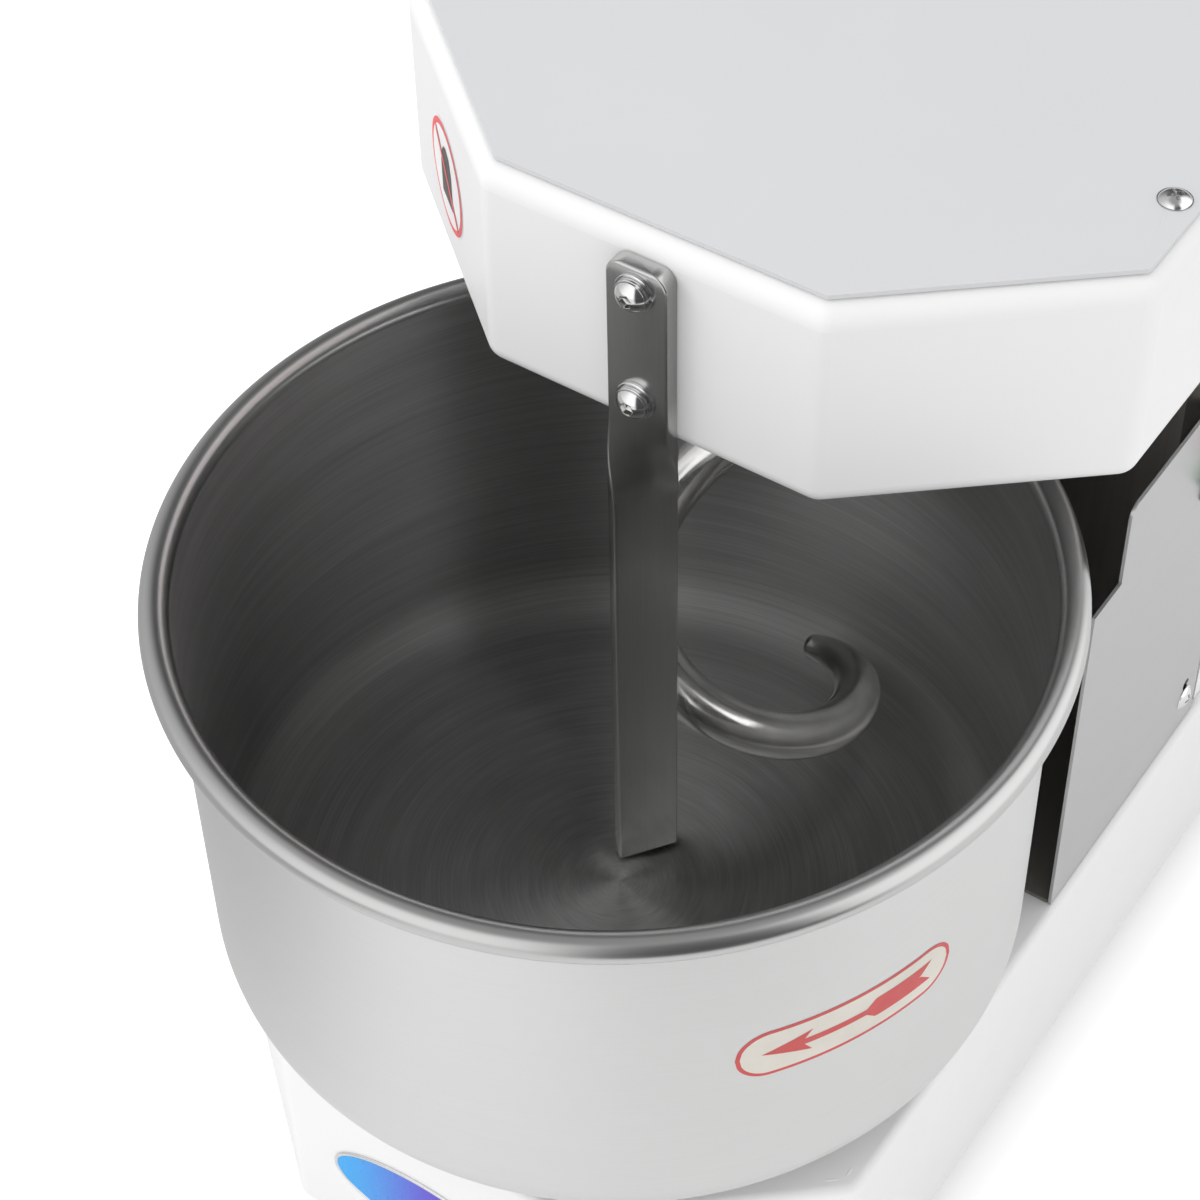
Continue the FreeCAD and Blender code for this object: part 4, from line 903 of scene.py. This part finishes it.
def make_timer_scale():
    """Printed ticks round the timer knob, on the rear cover's side."""
    centre = Vector((COVER_SIDE_X + PRINT_LIFT, *TIMER_AT))
    shapes = []
    for i in range(13):
        angle = math.radians(240 - 25 * i)
        along = Vector((0, math.cos(angle), math.sin(angle)))
        across = Vector((0, -along.z, along.y))
        end = LONG_TICK_END if i % 3 == 0 else TICK_END
        rows = [[tuple(centre + along * r + across * w) for w in (-TICK_HALF_W, TICK_HALF_W)]
                for r in (TICK_R, end)]
        shapes.append((rows, 0))
    finish_mesh(layered(shapes), "timer_scale", LABEL_DARK, "frame", (), 30)


def make_corner_welds():
    """Short dressed welds where the deck's folded edges meet at its front corners."""
    shoulder_y = BASE_FRONT_Y + NOSE_DEPTH
    slope = Vector((NOSE_HALF_W - BASE_HALF_W, -NOSE_DEPTH, 0)).normalized()
    half_w, flatness, steps = 0.00055, 0.45, 8
    over = [math.pi * k / steps for k in range(steps + 1)]
    groups = []
    for side in (-1, 1):
        corner = Vector((side * (BASE_HALF_W - 0.0075), shoulder_y + 0.002, DECK_Z))
        for along, start, length in ((Vector((0, 1, 0)), 0.001, 0.0055),
                                     (Vector((side * slope.x, slope.y, 0)), 0.002, 0.0075)):
            across = Vector((-along.y, along.x, 0))
            rings = []
            for i in range(steps + 1):
                share = i / steps
                swell = half_w * math.sin(math.pi * (0.06 + 0.88 * share))
                centre = corner + along * (start + length * share)
                rings.append([tuple(centre + across * swell * math.cos(turn)
                                    + Vector((0, 0, flatness * swell * math.sin(turn))))
                              for turn in over])
            groups.append((rings, Matrix.Identity(4), True))
    finish_mesh(gathered(groups), "deck_corner_welds", WHITE, "frame")


def make_shade_foot_plate():
    """Thin dark plate on the deck, from the column's foot forward between the side panels; its
    dark paint is painted shade for the slit between the panels' front edges and the bowl.
    """
    panel_gap, column_gap, deck_gap = 0.0003, 0.0002, 0.0001
    front_y, back_y = PANEL_FRONT_Y + panel_gap, COLUMN_FRONT_Y - column_gap
    middle_y, half_d = (front_y + back_y) / 2.0, (back_y - front_y) / 2.0
    half_w = PANEL_OUT_X - PANEL_SHEET - panel_gap
    rings = []
    for inset, z in ((0.0, deck_gap), (0.0, FOOT_PLATE_T - FOOT_PLATE_BEVEL),
                     (FOOT_PLATE_BEVEL, FOOT_PLATE_T)):
        outline = rounded_rectangle(half_w - inset, half_d - inset, 0.001)
        rings.append([(x, middle_y + y, DECK_Z + z) for x, y in outline])
    finish_mesh(skin(rings), "column_foot_plate_shade", SHADE_PLATE_PAINT, "frame")


# ---------------------------------------------------------------- CAD nodes

def dress_cad_nodes():
    """Materials for the nodes that stay, and softened edges on the larger sheet parts."""
    for entry in frame["record"]["subparts"]:
        node = NODES[entry["node"]]
        node.data.materials.clear()
        node.data.materials.append(SLOT_LOOKS[entry["material_slot"]])
    NODES["column_frame"].data.materials[0] = COLUMN
    for name, width in SOFT_EDGES.items():
        weld = NODES[name].modifiers.new("weld", "WELD")
        weld.merge_threshold = 1e-5
        soften = NODES[name].modifiers.new("soften", "BEVEL")
        soften.width = width
        soften.segments = 2
        soften.limit_method = "ANGLE"
        soften.angle_limit = math.radians(50)
        soften.harden_normals = True


# ---------------------------------------------------------------- stage, light and camera

def make_floor():
    """White sweep; in reflections only its colour is painted dark: far out in front in line with
    the dark gap, where the room begins, and near the machine's left, as painted shade.
    """
    made = bmesh.new()
    reach = 6
    corners = [(-reach, -reach, 0), (reach, -reach, 0), (reach, reach, 0), (-reach, reach, 0)]
    made.faces.new([made.verts.new(corner) for corner in corners])
    mesh = bpy.data.meshes.new("studio_floor")
    made.to_mesh(mesh)
    made.free()
    look = Shader("studio_floor_white", (0.96, 0.96, 0.96), 0.9, Specular_IOR_Level=0.1)
    x, y = look.axes(look.place())[:2]
    distance = look.math("SQRT", look.math("ADD", look.math("MULTIPLY", x, x),
                                           look.math("MULTIPLY", y, y)))
    far = look.ramp(distance, 0.0, 1.0, 0.75, 1.15, True)
    gap = look.band(look.math("ARCTAN2", y, x), *GAP_EDGES)
    # Painted shade, seen only in reflections: the floor left of the machine is darkened.
    left_shade = look.ramp(x, 0.5, 0.0, -0.42, -0.05, True)
    path = look.node("ShaderNodeLightPath")
    glossy = path.outputs["Is Glossy Ray"]
    shade = look.math("MULTIPLY", look.math("MAXIMUM", look.math("MULTIPLY", far, gap), left_shade),
                      glossy)
    paper = look.tint(look.noise(look.place(), 3.0), (0.955, 0.955, 0.955), (0.965, 0.965, 0.965))
    look.color(look.blend(shade, paper, (0.05, 0.05, 0.05, 1.0)))
    look.set("Emission Color", (1.0, 1.0, 1.0, 1.0))
    glow = look.math("MULTIPLY_ADD", glossy, -FLOOR_GLOW, FLOOR_GLOW)
    seen = path.outputs["Is Camera Ray"]
    look.feed(look.surface.inputs["Emission Strength"],
              look.math("MULTIPLY_ADD", seen, FLOOR_CAMERA_GLOW, glow))
    mesh.materials.append(look.material)
    floor = bpy.data.objects.new("studio_floor", mesh)
    bpy.context.scene.collection.objects.link(floor)


def area_light(name, place, aim, size, power):
    """Soft lamp that lights surfaces but isn't mirrored in them."""
    data = bpy.data.lights.new(name, "AREA")
    data.shape = "RECTANGLE"
    data.size, data.size_y = size
    data.energy = power
    lamp = bpy.data.objects.new(name, data)
    lamp.visible_glossy = False
    lamp.location = place
    direction = Vector(aim) - Vector(place)
    lamp.rotation_euler = direction.to_track_quat("-Z", "Y").to_euler()
    bpy.context.scene.collection.objects.link(lamp)


def make_world():
    """Even light on matt surfaces; metal mirrors two pale screens with a dark gap between."""
    world = bpy.data.worlds.new("studio")
    world.use_nodes = True
    studio = Nodes(world.node_tree)
    back = world.node_tree.nodes["Background"]
    back.inputs[0].default_value = (1.0, 1.0, 1.0, 1.0)
    direction = studio.node("ShaderNodeTexCoord").outputs["Generated"]
    x, y, z = studio.axes(direction)
    azimuth = studio.math("ARCTAN2", y, x)
    left_wrap = studio.ramp(azimuth, 0.0, 0.45, math.radians(120), math.radians(180), True)
    left = studio.math("MULTIPLY", studio.ramp(azimuth, 0.45, 1.0, math.radians(-180),
                                               math.radians(-100), True),
                       studio.ramp(azimuth, 1.0, 0.0, GAP_EDGES[0], GAP_EDGES[1], True))
    right = studio.band(azimuth, GAP_EDGES[2], GAP_EDGES[3], math.radians(60), math.radians(88))
    sides = studio.math("MULTIPLY_ADD", right, 1.1, studio.math("MAXIMUM", left, left_wrap))
    sides = studio.math("MULTIPLY", sides, studio.ramp(z, 1.0, 0.0, 0.78, 0.97, True))
    pattern = studio.math("MULTIPLY_ADD", sides, SCREEN_LIGHT, ROOM_LIGHT)
    above = studio.ramp(z, 0.0, OVERHEAD_LIGHT, 0.75, 0.95, True)
    pattern = studio.math("ADD", pattern, above)
    path = studio.node("ShaderNodeLightPath")
    matt = studio.math("ADD", studio.ramp(x, MATT_LIGHT, MATT_LIGHT * 0.74, -1.0, 1.0),
                       studio.ramp(y, MATT_LIGHT * 0.26, 0.0, -1.0, 0.0))
    plain = studio.math("MAXIMUM", path.outputs["Is Camera Ray"], matt)
    made = studio.node("ShaderNodeMix", {0: path.outputs["Is Glossy Ray"], 2: plain, 3: pattern})
    studio.feed(back.inputs[1], made.outputs[0])
    bpy.context.scene.world = world


def make_camera():
    level = Vector((math.cos(CAMERA_AZIMUTH), math.sin(CAMERA_AZIMUTH), 0.0))
    up = CAMERA_BACK.cross(level)
    right = level * math.cos(CAMERA_ROLL) + up * math.sin(CAMERA_ROLL)
    up = CAMERA_BACK.cross(right)
    data = bpy.data.cameras.new("camera")
    data.lens = CAMERA_LENS
    data.sensor_width = CAMERA_SENSOR
    data.clip_start, data.clip_end = 0.05, 50.0
    camera = bpy.data.objects.new("camera", data)
    turn = Matrix((right, up, CAMERA_BACK)).transposed().to_4x4()
    place = CAMERA_TARGET + CAMERA_BACK * CAMERA_DISTANCE
    camera.matrix_world = Matrix.Translation(place) @ turn
    bpy.context.scene.collection.objects.link(camera)
    bpy.context.scene.camera = camera


# ---------------------------------------------------------------- making

dress_cad_nodes()
make_bowl()
make_spiral()
make_bar()
make_bar_bolts()
make_all_cross_screws()
make_badge()
make_arrow_label()
make_round_label()
make_feet()
make_timer_scale()
make_corner_welds()
make_shade_foot_plate()
make_floor()
make_world()
area_light("key_left", (-1.6, -1.2, 2.0), (0, -0.1, 0.3), (1.2, 1.2), 13)
area_light("fill_right", (1.8, 0.5, 1.4), (0, -0.1, 0.3), (0.8, 1.4), 3)
area_light("top", (0.1, 0.4, 2.6), (0, 0, 0.3), (1.6, 1.0), 6)
make_camera()
bpy.context.scene.view_settings.view_transform = "Standard"
